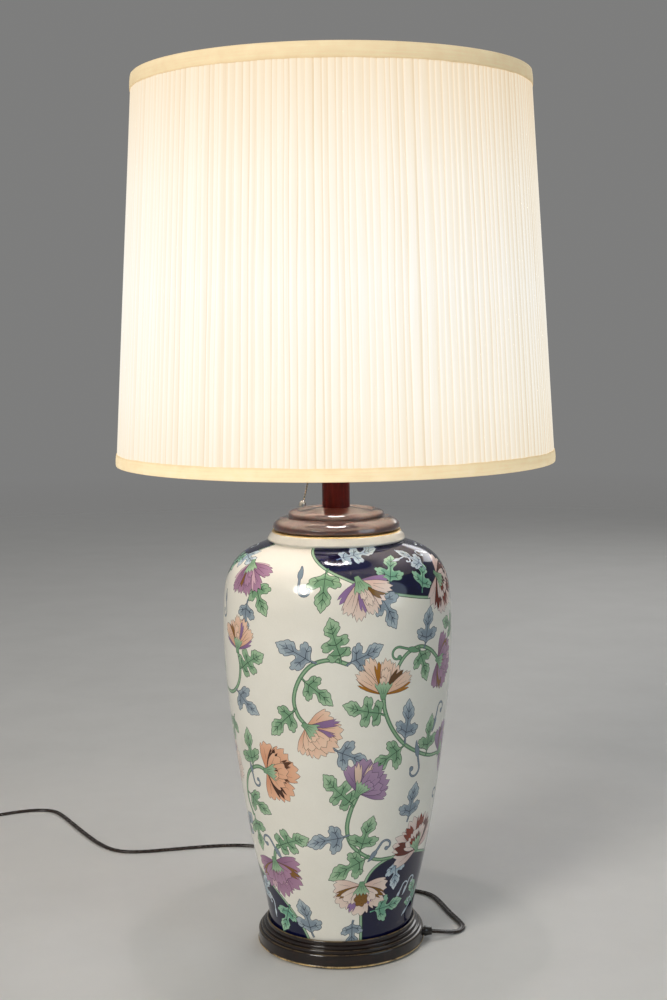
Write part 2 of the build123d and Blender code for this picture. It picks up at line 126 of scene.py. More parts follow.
class Print:
    """Ordered flat polygons in (u, t): u = RREF * angle, t = length up the outline, mm."""

    def __init__(self):
        self.polys = []

    def add(self, pts, c0, c1=None, axis=None):
        pts = np.asarray(pts, float)
        self.polys.append((pts, np.asarray(c0, float), None if c1 is None else np.asarray(c1, float), axis))

    # -- placing
    def place(self, loc, at, ang, s=1.0, flip=False):
        loc = np.asarray(loc, float) * s
        x = -loc[:, 0] if flip else loc[:, 0]
        y = loc[:, 1]
        c, k = math.cos(ang), math.sin(ang)
        du, dt = x * c + y * k, -x * k + y * c
        t = at[1] + dt
        return np.stack([at[0] + du / squeeze(t), t], 1)

    def stroke(self, path, w0, w1=None, c=INK, taper=0.0):
        """Band along (u, t) points with width w0 to w1, thinning at the ends by taper."""
        P = np.asarray(path, float)
        h = squeeze(P[:, 1])
        d = np.gradient(P, axis=0)
        tx, ty = d[:, 0] * h, d[:, 1]
        n = np.hypot(tx, ty) + 1e-9
        s = np.linspace(0, 1, len(P))
        w = w0 + ((w0 if w1 is None else w1) - w0) * s
        if taper:
            w = w * np.clip(np.minimum(s, 1 - s) / taper, 0.12, 1)
        nx, ny = -ty / n / h * w / 2, tx / n * w / 2
        self.add(np.vstack([np.stack([P[:, 0] + nx, P[:, 1] + ny], 1), np.stack([P[:, 0] - nx, P[:, 1] - ny], 1)[::-1]]), c)


def grow(pts, d):
    """Polygon moved outwards by d."""
    P = np.asarray(pts, float)
    a, b = np.roll(P, 1, 0), np.roll(P, -1, 0)
    tg = b - a
    n = np.stack([tg[:, 1], -tg[:, 0]], 1)
    n /= np.linalg.norm(n, axis=1)[:, None] + 1e-9
    area = np.sum(P[:, 0] * np.roll(P[:, 1], -1) - np.roll(P[:, 0], -1) * P[:, 1])
    return P + n * (d if area > 0 else -d)


def lobe(cx, cy, a, b, rot, n=30, wave=0.07, k=7, ph=0.0, tipx=0.0):
    t = np.linspace(0, 2 * math.pi, n, endpoint=False)
    m = 1 + wave * np.cos(k * t + ph)
    x, y = a * np.cos(t) * m, b * np.sin(t) * m * (1 - tipx * np.cos(t))
    c, s = math.cos(rot), math.sin(rot)
    return np.stack([cx + x * c - y * s, cy + x * s + y * c], 1)


def bend(P, k):
    """Curves a motif sideways by k per length squared."""
    P = np.asarray(P, float).copy()
    P[:, 0] += k * P[:, 1] ** 2
    return P


def leaf(pr, at, deg, L=34.0, kind="green", flip=False, k=0.004, lobes=3):
    """Lobed leaf growing from its stalk at (u, t)."""
    lo, hi, ink = PAL[kind]
    ang = math.radians(deg)
    rng = np.random.default_rng(int(abs(at[0]) * 17 + abs(at[1]) * 5 + L))
    jig = lambda a: float(rng.uniform(-a, a))

    def half():
        e, h, g = 1 + jig(0.13), jig(0.03), 1 + jig(0.10)
        low = [(0.03, 0.13), (0.09, 0.18), (0.185 * e, 0.20 + h), (0.27 * e, 0.225 + h), (0.335 * e, 0.285 + h), (0.325 * e, 0.335 + h), (0.38 * e, 0.385 + h),
               (0.365 * e, 0.455 + h), (0.305 * e, 0.45 + h), (0.265 * e, 0.49 + h), (0.185 * e, 0.465 + h), (0.12, 0.435), (0.07, 0.475)]
        if lobes == 5:
            low = [(0.03, 0.10), (0.09, 0.10), (0.19 * e, 0.085 + h), (0.27 * e, 0.135 + h), (0.255 * e, 0.18 + h), (0.29 * e, 0.225 + h), (0.24 * e, 0.27 + h), (0.14 * e, 0.275), (0.065, 0.31),
                   (0.10, 0.355), (0.23 * e, 0.35 + h), (0.335 * e, 0.41 + h), (0.305 * e, 0.46 + h), (0.335 * e, 0.515 + h), (0.27 * e, 0.565 + h), (0.15, 0.545), (0.07, 0.585)]
        s = 0.10 if lobes == 5 else 0.0
        top = [(0.078, 0.55 + 0.7 * s), (0.145 * g, 0.625 + 0.6 * s), (0.188 * g, 0.69 + 0.45 * s), (0.165 * g, 0.74 + 0.4 * s), (0.18 * g, 0.80 + 0.3 * s), (0.135 * g, 0.865 + 0.2 * s),
               (0.105 * g, 0.88 + 0.2 * s), (0.075 * g, 0.945 + 0.1 * s), (0.03, 0.985 + 0.05 * s)]
        return np.array(low + top) * L

    right, left = half(), half() * [-1, 1]
    P = smooth_line(np.vstack([right, [(0, 1.03 * L)], left[::-1]]), 3)
    put = lambda Q: pr.place(bend(Q, k), at, ang, 1.0, flip)
    stem = np.stack([np.linspace(-0.05 * L, 0, 8) * np.linspace(1, 0, 8), np.linspace(-0.02 * L, 0.24 * L, 8)], 1)
    pr.stroke(put(stem), 2.0, 1.9, ink)
    pr.add(put(grow(P, 0.50)), ink)
    base, tip = put([(0, 0.05 * L)])[0], put([(0, 1.0 * L)])[0]
    pr.stroke(put(stem), 1.15, 1.1, lo)
    pr.add(put(P), lo * 0.55 + hi * 0.45, hi, (base, tip))
    core = (P - [0, 0.5 * L]) * [0.60, 0.80] + [0, 0.47 * L]
    pr.add(put(core), lo, lo * 0.6 + hi * 0.4, (base, tip))
    y = 0.30 if lobes == 3 else 0.19
    veins = [[(0, 0.05), (0.004, 0.4), (0, 0.94)]]
    for m in (1, -1):
        f = lambda x, q: (m * x * (1 + jig(0.1)), q + jig(0.012))
        veins += [[(0, y - 0.05), f(0.13, y), f(0.30 if lobes == 3 else 0.22, y + 0.035)], [f(0.14, y), f(0.18, y + 0.05), f(0.22, y + 0.10)],
                  [(0, 0.56 + 0.1 * (lobes == 5)), f(0.07, 0.64 + 0.08 * (lobes == 5)), f(0.14, 0.71 + 0.06 * (lobes == 5))], [(0, 0.72 + 0.06 * (lobes == 5)), f(0.05, 0.79), f(0.095, 0.85)]]
        if lobes == 5:
            veins += [[(0, 0.40), f(0.12, 0.44), f(0.25, 0.47)], [f(0.12, 0.44), f(0.16, 0.49), f(0.19, 0.53)]]
        else:
            veins += [[f(0.15, y), f(0.20, y - 0.04), f(0.25, y - 0.06)]]
    for v in veins:
        pr.stroke(put(smooth_line(np.array(v) * L, 4)), 0.66, 0.34, ink)


def petal(l, w, teeth=4, rng=None, narrow=0.10, deep=0.12):
    """Petal from its root (0, 0) upwards, with pointed teeth at the tip."""
    jig = (lambda a: 0.0) if rng is None else (lambda a: float(rng.uniform(-a, a)))
    s = np.linspace(0, 1, 8)
    side = np.stack([w * (narrow + (1 - narrow) * np.sin(s * math.pi / 2) ** 1.35), 0.70 * l * s], 1)
    side[0] = (0.06 * w, 0.0)
    tip = []
    top = lambda f: 0.78 + 0.20 * math.sin(math.pi * f) ** 0.8
    x = lambda f: 1.06 * w * math.cos(math.pi * f)
    for i in range(teeth):
        f0, f1, f2 = i / teeth, (i + 0.5 + jig(0.16)) / teeth, (i + 1) / teeth
        if i:
            tip.append((x(f0), l * (top(f0) - deep * (0.9 + jig(0.4)))))
        tip.append((x(f0 * 0.55 + f1 * 0.45), l * (top(f0 * 0.55 + f1 * 0.45) - deep * 0.12)))
        tip.append((x(f1), l * (top(f1) + deep * 0.45 + jig(0.03))))
        tip.append((x(f2 * 0.5 + f1 * 0.5), l * (top(f2 * 0.5 + f1 * 0.5) - deep * 0.16)))
    return np.vstack([side, tip, (side * [-1, 1])[::-1]])


def turn(P, deg):
    a = math.radians(deg)
    P = np.asarray(P, float)
    return np.stack([P[:, 0] * math.cos(a) + P[:, 1] * math.sin(a), -P[:, 0] * math.sin(a) + P[:, 1] * math.cos(a)], 1)


FORMS = {  # back to front: kind, angle, length, half width
    "fan": (("p", -28, 0.96, 0.205), ("p", 23, 1.16, 0.195), ("h", -41, 0.84, 0.19), ("a", 11, 0.96, 0.15), ("a", -67, 0.88, 0.15), ("a", 60, 0.88, 0.15),
            ("p", -54, 1.09, 0.17), ("p", 47, 1.11, 0.17), ("p", -5, 1.09, 0.185), ("q", -5, 0.80, 0.14), ("q", 4, 0.56, 0.09)),
    "cup": (("p", -60, 0.92, 0.25), ("p", 66, 0.92, 0.25), ("p", -22, 1.10, 0.30), ("a", -42, 0.98, 0.11), ("p", 36, 1.08, 0.30), ("p", 6, 1.12, 0.28),
            ("a", -14, 0.94, 0.08), ("q", 46, 0.80, 0.25), ("q", 14, 0.84, 0.25), ("q", 30, 0.54, 0.17)),
    "mass": (("p", -82, 0.94, 0.29), ("p", 84, 0.92, 0.29), ("p", -44, 1.08, 0.32), ("p", 46, 1.08, 0.32), ("p", 2, 1.12, 0.32), ("h", -62, 0.96, 0.15), ("a", 24, 1.00, 0.12),
             ("a", -20, 0.76, 0.11), ("h", 68, 0.86, 0.14), ("q", -42, 0.74, 0.22), ("q", 46, 0.78, 0.23), ("q", 5, 0.78, 0.24), ("h", 12, 0.42, 0.09), ("q", -18, 0.46, 0.14)),
    "rich": (("p", -82, 0.98, 0.29), ("p", 82, 0.96, 0.29), ("p", -42, 1.10, 0.31), ("p", 44, 1.08, 0.31), ("p", 2, 1.13, 0.30), ("h", -61, 1.00, 0.20), ("a", 23, 1.03, 0.19),
             ("a", -20, 0.95, 0.18), ("h", 63, 0.94, 0.20), ("q", -44, 0.68, 0.19), ("q", 44, 0.72, 0.20), ("q", 2, 0.66, 0.19), ("a", -22, 0.50, 0.11), ("h", 22, 0.50, 0.11)),
}


def bloom(pr, at, deg, R=19.0, kind="peach", flip=False, seed=1, spread=1.0, form="fan", heart=0.0):
    """Half-open blossom on its calyx at (u, t), facing deg from upright."""
    root, tip, acc, dark, ink = BLOOM[kind]
    rng = np.random.default_rng(seed)
    ang = math.radians(deg)
    put = lambda P: pr.place(P, at, ang, 1.0, flip)
    for what, a, l, w in FORMS[form]:
        a = (a + float(rng.uniform(-4, 4))) * spread
        l *= R * float(rng.uniform(0.96, 1.05))
        w *= R
        if what in "ah":
            P = petal(l, w, 3, rng, 0.25, 0.16)
            pr.add(put(turn(grow(P, 0.28), a)), ink)
            c = acc if what == "a" else dark
            pr.add(put(turn(P, a)), c * 0.72, c, (put(turn([(0, 0.2 * l)], a))[0], put(turn([(0, l)], a))[0]))
            continue
        P = petal(l, w, 4 if what == "p" else 3, rng, 0.12, 0.095)
        pr.add(put(turn(grow(P, 0.36), a)), ink)
        c0 = root if what == "p" else root * 0.5 + tip * 0.5
        pr.add(put(turn(P, a)), c0, tip, (put(turn([(0, 0.25 * l)], a))[0], put(turn([(0, l)], a))[0]))
        for x in (-0.42, 0.36):
            pr.stroke(put(turn(smooth_line([(x * w * 0.4, 0.42 * l), (x * w * 0.9, 0.62 * l), (x * w * 1.25, 0.78 * l)], 3), a)), 0.30, 0.15, ink)
    if heart:
        d = [(heart * R * (1 + 0.10 * math.cos(7 * q)) * math.cos(q), 0.52 * R + 1.25 * heart * R * (1 + 0.10 * math.cos(7 * q)) * math.sin(q)) for q in np.linspace(0, 2 * math.pi, 40, endpoint=False)]
        pr.add(put(grow(d, 0.4)), ink)
        pr.add(put(d), dark * 0.85, dark, (put([(0, 0.3 * R)])[0], put([(0, 0.75 * R)])[0]))
        for i in range(9):
            q = (0.05 * R * i ** 0.6 * math.cos(i * 2.4), 0.52 * R + 0.06 * R * i ** 0.6 * math.sin(i * 2.4))
            pr.add(put(lobe(q[0], q[1], 0.4, 0.4, 0, 8, 0)), dark * 0.45)
    lo, hi, gink = PAL["green"]
    C = np.array([(0.055, -0.16), (0.085, 0.0), (0.155, 0.13), (0.225, 0.25), (0.245, 0.345), (0.165, 0.255), (0.10, 0.365), (0.045, 0.265), (0.0, 0.385), (-0.05, 0.265), (-0.105, 0.36), (-0.165, 0.25),
                  (-0.24, 0.34), (-0.22, 0.245), (-0.15, 0.13), (-0.085, 0.0), (-0.055, -0.16)]) * R * [1.18 * spread ** 0.5, 1.0]
    pr.add(put(grow(C, 0.4)), gink)
    pr.add(put(C), lo, hi, (put([(0, -0.1 * R)])[0], put([(0, 0.36 * R)])[0]))
    for x in (-0.09, 0.0, 0.09):
        pr.stroke(put(smooth_line(np.array([(x * 0.4, 0.0), (x * 0.8, 0.12), (x * 1.15, 0.22)]) * R, 3)), 0.34, 0.16, gink)


def curl(pr, at, deg, L=20.0, c=None, flip=False, w=1.9, ink=None):
    """Tendril with a slender blade at its root and a round curl at its end."""
    c = PAL["blue"][0] if c is None else c
    edge = PAL["blue"][2] if ink is None else ink
    put = lambda P: pr.place(P, at, math.radians(deg), 1.0, flip)
    a = np.linspace(0, 1, 26)
    th = a * 4.1
    rad = 0.30 * L * (1 - 0.52 * a)
    arc = np.stack([0.30 * L - rad * np.cos(th), 0.52 * L + rad * np.sin(th)], 1)
    line = np.vstack([smooth_line([(-0.06 * L, -0.04 * L), (-0.02 * L, 0.25 * L)], 6)[:-1], arc])
    blade = np.array([(-0.05, 0.16), (0.035, 0.05), (0.03, -0.14), (-0.03, -0.34), (-0.14, -0.50), (-0.135, -0.32), (-0.17, -0.14), (-0.13, 0.04)]) * L
    blade = smooth_line(np.vstack([blade, blade[:1]]), 4)[:-1]
    e = arc[-1]
    ball = lobe(e[0], e[1], 0.085 * L, 0.085 * L, 0, 16, 0)
    pr.add(put(grow(blade, 0.4)), edge)
    pr.add(put(grow(ball, 0.4)), edge)
    pr.stroke(put(line), w + 0.8, (w + 0.8) * 0.8, edge)
    pr.add(put(blade), c)
    pr.add(put(ball), c)
    pr.stroke(put(line), w, w * 0.8, c)


def vine(pr, pts, w0=3.1, w1=2.6):
    """Twining stem through (degrees, t) points."""
    P = smooth_line([(math.radians(a) * RREF, t) for a, t in pts], 10)
    pr.stroke(P, w0 + 0.8, w1 + 0.8, VINE[1])
    pr.stroke(P, w0, w1, VINE[0])
    pr.stroke(P, w0 * 0.36, w1 * 0.32, VINE[2])
    return P


def at(a, t):
    return (math.radians(a) * RREF, t)


def reserve(pr, edge, close, inner=()):
    """Dark panel bounded by a green band: edge and closing points in (degrees, t)."""
    E = smooth_line([at(*p) for p in edge], 12)
    pr.add(np.vstack([E, [at(*p) for p in close]]), NAVY)
    pr.stroke(E, 2.9, 2.9, VINE[1])
    pr.stroke(E, 1.8, 1.8, srgb(150, 184, 152))


def draw():
    """One half-turn of the print; it repeats once round the vase."""
    pr = Print()
    T = T_TOP
    # dark panels at the shoulder and at the foot
    reserve(pr, [(-21, T + 8), (-17, T - 8), (-8, T - 26), (7, T - 40), (20, T - 49), (34, T - 55), (54, T - 61), (76, T - 62), (92, T - 50), (103, T - 33), (112, T - 14), (116, T + 8)],
            [(116, T + 16), (-21, T + 16)])
    reserve(pr, [(15.5, -10), (15, 14), (14.5, 40), (17, 62), (24, 74), (38, 80), (58, 76), (82, 66), (104, 58), (124, 46), (139, 30), (150, 12), (158, -10)],
            [(158, -18), (15.5, -18)])

    # stems
    vine(pr, [(5, 257), (-3, 261), (-12, 257), (-19, 243), (-22, 225), (-20, 212), (-16, 204)])
    vine(pr, [(22, 229), (23, 216), (27, 200), (34, 185), (44, 174), (56, 166), (70, 163)])
    vine(pr, [(10, 143), (6, 128), (4, 112), (6, 98), (13, 87), (23, 80), (33, 79)])
    vine(pr, [(58, 251), (51, 261), (43, 266), (35, 262), (30, 252), (29, 243)], 2.9, 2.5)
    vine(pr, [(-58, 262), (-56, 246), (-59, 231), (-67, 221), (-78, 221), (-86, 230)], 2.9, 2.5)
    vine(pr, [(-42, 158), (-49, 160), (-58, 153), (-64, 140), (-66, 124), (-62, 110)], 2.9, 2.5)
    vine(pr, [(-47, 70), (-44, 84), (-36, 92), (-28, 90)], 2.8, 2.4)
    vine(pr, [(94, 150), (84, 142), (78, 128), (81, 112), (90, 104)], 2.9, 2.5)
    vine(pr, [(84, 288), (78, 276), (80, 262), (90, 252)], 2.9, 2.5)

    # tendrils
    curl(pr, at(-19, 330), 186, 21, None, True, 1.6)
    curl(pr, at(37, 264), -68, 22, PAL["green"][0], True, 1.6, VINE[1])
    curl(pr, at(45, 171), 158, 24, None, False, 1.6)
    curl(pr, at(22, 86), 28, 19, None, False, 1.6)
    curl(pr, at(-44, 84), -28, 20, None, True, 1.6)
    curl(pr, at(-55, 154), 176, 17, None, True, 1.5)
    curl(pr, at(60, 196), 12, 21, None, False, 1.6)
    curl(pr, at(79, 120), -40, 18, None, True, 1.5)
    curl(pr, at(-74, 300), 160, 18, None, False, 1.5)
    curl(pr, at(82, 216), 30, 18, None, False, 1.5)

    # leaves on the light ground
    leaf(pr, at(2, 260), -24, 36, "green", lobes=5)
    leaf(pr, at(-11, 257), -56, 37, "blue", True)
    leaf(pr, at(4, 258), 74, 33, "blue", True)
    leaf(pr, at(-18, 244), 122, 33, "green")
    leaf(pr, at(-21, 217), -126, 34, "green", True)
    leaf(pr, at(-3, 183), 108, 33, "blue")
    leaf(pr, at(23, 213), -84, 36, "green", lobes=5)
    leaf(pr, at(35, 184), 14, 37, "blue", True)
    leaf(pr, at(36, 181), -112, 35, "green", True)
    leaf(pr, at(54, 167), -4, 35, "green")
    leaf(pr, at(42, 265), 152, 31, "green")
    leaf(pr, at(47, 264), 6, 34, "blue")
    leaf(pr, at(-56, 244), 52, 35, "green", lobes=5)
    leaf(pr, at(-62, 226), 128, 35, "blue", True)
    leaf(pr, at(-50, 306), 182, 32, "blue")
    leaf(pr, at(-46, 324), 158, 33, "green", True)
    leaf(pr, at(-6, 338), 181, 37, "green", False, 0.002)
    leaf(pr, at(20, 316), 146, 34, "blue")
    leaf(pr, at(-53, 157), -14, 35, "green")
    leaf(pr, at(-64, 132), 122, 33, "green", True)
    leaf(pr, at(8, 133), -52, 37, "green", lobes=5)
    leaf(pr, at(5, 104), -96, 36, "blue", True)
    leaf(pr, at(12, 88), 10, 34, "green")
    leaf(pr, at(18, 83), -112, 38, "green", True)
    leaf(pr, at(44, 110), 0, 34, "blue")
    leaf(pr, at(-23, 5), -6, 35, "blue", True)
    leaf(pr, at(-42, 88), 60, 35, "green", lobes=5)
    leaf(pr, at(80, 118), 44, 32, "green")
    leaf(pr, at(86, 108), 160, 31, "blue", True)
    leaf(pr, at(80, 270), -60, 31, "green", True)
    leaf(pr, at(86, 256), 120, 32, "green")
    leaf(pr, at(-70, 200), 200, 31, "green")
    leaf(pr, at(-84, 180), -30, 32, "blue")
    leaf(pr, at(-82, 88), 40, 31, "blue")
    leaf(pr, at(-86, 229), -48, 33, "blue")
    leaf(pr, at(-62, 111), 164, 32, "green")
    leaf(pr, at(84, 287), 24, 31, "blue")
    # leaves and scrolls on the dark panels
    leaf(pr, at(0, 351), 76, 37, "ice", True, lobes=5)
    leaf(pr, at(27, 320), 16, 33, "mint")
    leaf(pr, at(46, 312), 34, 31, "mint", True)
    leaf(pr, at(56, 330), -30, 30, "ice")
    leaf(pr, at(90, 330), 60, 31, "mint")
    leaf(pr, at(104, 346), 110, 30, "ice", True)
    leaf(pr, at(37, 78), 168, 31, "ice")
    leaf(pr, at(139, 32), 196, 31, "mint")
    leaf(pr, at(70, 20), -20, 32, "mint", True)
    leaf(pr, at(104, 26), 30, 33, "ice")
    white = srgb(206, 220, 230)
    for a, t, d, f, l in ((40, 344, 70, False, 15), (70, 346, -60, True, 15), (84, 356, 80, False, 14), (46, 40, 18, False, 15), (53, 43, 18, False, 15), (58, 20, 60, True, 14),
                          (88, 42, -20, True, 15), (120, 20, 10, True, 14)):
        curl(pr, at(a, t), d, l, white, f, 1.4, NAVY)

    # blossoms
    bloom(pr, at(-16, 203), 122, 27, "peach", False, 3, 0.95, "cup")
    bloom(pr, at(22, 230), 2, 28, "gold", True, 4, 1.05, "fan")
    bloom(pr, at(10, 144), 34, 27, "lilac", False, 5, 0.85, "cup")
    bloom(pr, at(-42, 158), 88, 28, "coral", True, 6, 0.92, "mass")
    bloom(pr, at(11, 326), 160, 28, "pink", False, 7, 1.0, "fan")
    bloom(pr, at(-57, 338), 152, 28, "plum", True, 8, 0.95, "fan")
    bloom(pr, at(58, 250), 112, 26, "plum", True, 9, 0.92, "mass")
    bloom(pr, at(70, 163), 62, 26, "lilac", True, 10, 0.95, "mass")
    bloom(pr, at(-58, 262), 6, 26, "peach", False, 11, 1.0, "fan")
    bloom(pr, at(-47, 72), 168, 28, "plum", False, 12, 0.95, "mass")
    bloom(pr, at(94, 152), 60, 26, "pink", False, 13, 0.95, "cup")
    bloom(pr, at(57, 80), -24, 30, "blush", False, 14, 0.95, "rich")
    bloom(pr, at(64, 322), 140, 30, "blush", True, 15, 0.95, "rich")
    # a round blossom at the foot with its own leaves
    leaf(pr, at(22, 30), 92, 33, "mint", True)
    leaf(pr, at(8, 22), 176, 27, "blue", False, 0.004)
    bloom(pr, at(14, 56), 180, 25.5, "pink", False, 16, 1.02, "mass", 0.22)
    return pr


# ------------------------------------------------------------------ camera
PITCH, ROLL = math.radians(6.4306), -0.01190745
cam_data = bpy.data.cameras.new("camera")
cam_data.sensor_fit = "VERTICAL"
cam_data.sensor_height = 36.0
cam_data.lens = 55.132
cam_data.clip_end = 60
cam = link(bpy.data.objects.new("camera", cam_data))
_right, _up, _fwd = Vector((1, 0, 0)), Vector((0, math.sin(PITCH), math.cos(PITCH))), Vector((0, math.cos(PITCH), -math.sin(PITCH)))
_r2 = _right * math.cos(ROLL) + _up * math.sin(ROLL)
_u2 = _up * math.cos(ROLL) - _right * math.sin(ROLL)
cam.matrix_world = Matrix.Translation((-0.00219, -1.33632, 0.54903)) @ Matrix((_r2, _u2, -_fwd)).transposed().to_4x4()
scene.camera = cam


# ------------------------------------------------------------------ mesh helpers
def arc3(a, m, b, n=7):
    """Points of the circle through a, m, b, without a."""
    a, m, b = (np.array(p, float) for p in (a, m, b))
    A = 2 * np.array([m - a, b - a])
    c = np.linalg.solve(A, np.array([m @ m - a @ a, b @ b - a @ a]))
    r = np.linalg.norm(a - c)
    an = lambda p: math.atan2(p[1] - c[1], p[0] - c[0])
    t0, tm, t1 = an(a), an(m), an(b)
    up = lambda x, y: (x - y) % (2 * math.pi)
    span = up(t1, t0) if up(tm, t0) <= up(t1, t0) else up(t1, t0) - 2 * math.pi
    return [tuple(c + r * np.array([math.cos(t0 + span * i / n), math.sin(t0 + span * i / n)])) for i in range(1, n + 1)]


def outline(start, *segs):
    """Profile (r, z) in mm from line (L), arc (A: through, end) and spline (S: points) segments."""
    P = [tuple(map(float, start))]
    for s in segs:
        if s[0] == "L":
            P.append(tuple(map(float, s[1])))
        elif s[0] == "A":
            P += arc3(P[-1], s[1], s[2], s[3] if len(s) > 3 else 7)
        else:
            P += [tuple(q) for q in smooth_line([P[-1]] + list(s[1]), 6)[1:]]
    return P


def build(name, verts, faces, uv=None, mats=(), smooth=40.0):
    me = bpy.data.meshes.new(name)
    me.from_pydata([tuple(v) for v in verts], [], [tuple(f) for f in faces])
    if uv is not None:
        layer = me.uv_layers.new(name="OFBake")
        layer.data.foreach_set("uv", np.asarray(uv, np.float32).ravel())
    me.validate()
    me.polygons.foreach_set("use_smooth", [True] * len(me.polygons))
    if smooth:
        me.set_sharp_from_angle(angle=math.radians(smooth))
    for m in mats:
        me.materials.append(m)
    return link(bpy.data.objects.new(name, me))


def lathe(name, prof, seg=160, mats=(), closed=True, smooth=40.0, shift=None):
    """Solid of revolution about Z from a profile in mm; shift(theta, i) moves a point by (dr, dz) mm."""
    n = len(prof)
    pole = [p[0] < 1e-6 for p in prof]
    verts, ring = [], []
    for i, (r, z) in enumerate(prof):
        if pole[i]:
            ring.append([len(verts)] * seg)
            verts.append((0, 0, z * MM))
            continue
        row = []
        for j in range(seg):
            th = 2 * math.pi * j / seg
            dr, dz = shift(th, i) if shift else (0, 0)
            row.append(len(verts))
            verts.append(((r + dr) * MM * math.cos(th), (r + dr) * MM * math.sin(th), (z + dz) * MM))
        ring.append(row)
    L = np.concatenate([[0], np.cumsum([math.dist(prof[i], prof[(i + 1) % n]) for i in range(n)])])
    L = L / L[-1]
    faces, uv = [], []
    for i in range(n if closed else n - 1):
        k = (i + 1) % n
        if pole[i] and pole[k]:
            continue
        for j in range(seg):
            q = (j + 1) % seg
            u0, u1, v0, v1 = j / seg, (j + 1) / seg, L[i], L[i + 1]
            if pole[i]:
                faces.append((ring[i][0], ring[k][q], ring[k][j])); uv += [(u0, v0), (u1, v1), (u0, v1)]
            elif pole[k]:
                faces.append((ring[i][j], ring[i][q], ring[k][0])); uv += [(u0, v0), (u1, v0), (u0, v1)]
            else:
                faces.append((ring[i][j], ring[i][q], ring[k][q], ring[k][j])); uv += [(u0, v0), (u1, v0), (u1, v1), (u0, v1)]
    ob = build(name, verts, faces, uv, mats, smooth)
    bm = bmesh.new(); bm.from_mesh(ob.data)
    bmesh.ops.recalc_face_normals(bm, faces=bm.faces)
    bm.to_mesh(ob.data); bm.free()
    return ob


def put_float(me, name, values, domain="POINT"):
    a = me.attributes.new(name, "FLOAT", domain)
    a.data.foreach_set("value", np.asarray(values, np.float32))


def put_color(me, name, values, domain="CORNER"):
    a = me.color_attributes.new(name, "FLOAT_COLOR", domain)
    v = np.ones((len(values), 4), np.float32)
    v[:, :3] = values
    a.data.foreach_set("color", v.ravel())


# ------------------------------------------------------------------ material helpers
class Mat:
    """A principled material with a few node shortcuts; coordinates are the object's own, in metres."""

    def __init__(self, name):
        self.m = bpy.data.materials.new(name)
        self.m.use_nodes = True
        self.nt = self.m.node_tree
        self.b = self.nt.nodes["Principled BSDF"]
        self._tc = None

    def set(self, **k):
        for key, v in k.items():
            s = self.b.inputs[key.replace("_", " ")]
            s.default_value = (*v, 1.0) if isinstance(v, (tuple, list)) and len(v) == 3 and len(s.default_value) == 4 else v
        return self

    def link(self, a, b):
        self.nt.links.new(a, b)

    def coords(self, scale=(1, 1, 1)):
        if self._tc is None:
            self._tc = self.nt.nodes.new("ShaderNodeTexCoord")
        mp = self.nt.nodes.new("ShaderNodeMapping")
        mp.inputs["Scale"].default_value = scale
        self.link(self._tc.outputs["Object"], mp.inputs["Vector"])
        return mp.outputs["Vector"]

    def noise(self, vec, scale=1.0, detail=4.0, rough=0.55, dist=0.0):
        n = self.nt.nodes.new("ShaderNodeTexNoise")
        n.inputs["Scale"].default_value = scale
        n.inputs["Detail"].default_value = detail
        n.inputs["Roughness"].default_value = rough
        n.inputs["Distortion"].default_value = dist
        self.link(vec, n.inputs["Vector"])
        return n.outputs["Fac"]

    def ramp(self, fac, stops):
        r = self.nt.nodes.new("ShaderNodeValToRGB")
        e = r.color_ramp.elements
        while len(e) < len(stops):
            e.new(0.5)
        for el, (p, c) in zip(e, stops):
            el.position = p
            el.color = (*c, 1.0) if not isinstance(c, (int, float)) else (c, c, c, 1.0)
        self.link(fac, r.inputs["Fac"])
        return r.outputs["Color"]

    def math(self, op, a, b=None, c=None):
        n = self.nt.nodes.new("ShaderNodeMath")
        n.operation = op
        for i, x in enumerate((a, b, c)):
            if x is None:
                continue
            if isinstance(x, (int, float)):
                n.inputs[i].default_value = x
            else:
                self.link(x, n.inputs[i])
        return n.outputs[0]

    def mix(self, fac, a, b, blend="MIX"):
        n = self.nt.nodes.new("ShaderNodeMix")
        n.data_type = "RGBA"
        n.blend_type = blend
        for sock, x in ((n.inputs[0], fac), (n.inputs[6], a), (n.inputs[7], b)):
            if isinstance(x, (int, float)):
                sock.default_value = x
            elif isinstance(x, (tuple, list, np.ndarray)):
                sock.default_value = (*[float(q) for q in x], 1.0)
            else:
                self.link(x, sock)
        return n.outputs[2]

    def attr(self, name, out="Fac"):
        n = self.nt.nodes.new("ShaderNodeAttribute")
        n.attribute_name = name
        return n.outputs[out]

    def bump(self, height, strength=0.3, dist=0.0005):
        n = self.nt.nodes.new("ShaderNodeBump")
        n.inputs["Strength"].default_value = strength
        n.inputs["Distance"].default_value = dist
        self.link(height, n.inputs["Height"])
        self.link(n.outputs["Normal"], self.b.inputs["Normal"])
        return n

    def color(self, sock):
        self.link(sock, self.b.inputs["Base Color"])
        return self

    def rough(self, fac, lo, hi):
        r = self.nt.nodes.new("ShaderNodeMapRange")
        r.inputs["To Min"].default_value = lo
        r.inputs["To Max"].default_value = hi
        self.link(fac, r.inputs["Value"])
        self.link(r.outputs["Result"], self.b.inputs["Roughness"])
        return self


def lin(*c):
    return tuple(float(x) for x in srgb(*c))


def metal(name, c0, c1, r0=0.2, r1=0.38, scale=240.0, brush=(1, 1, 1), bump=0.05):
    k = Mat(name)
    k.set(Metallic=1.0)
    f = k.noise(k.coords(brush), scale, 5, 0.6)
    k.color(k.ramp(f, [(0.3, c0), (0.7, c1)]))
    k.rough(k.noise(k.coords(brush), scale * 2.3, 3, 0.5), r0, r1)
    k.bump(k.noise(k.coords(brush), scale * 6, 3, 0.6), bump, 0.0002)
    return k.m


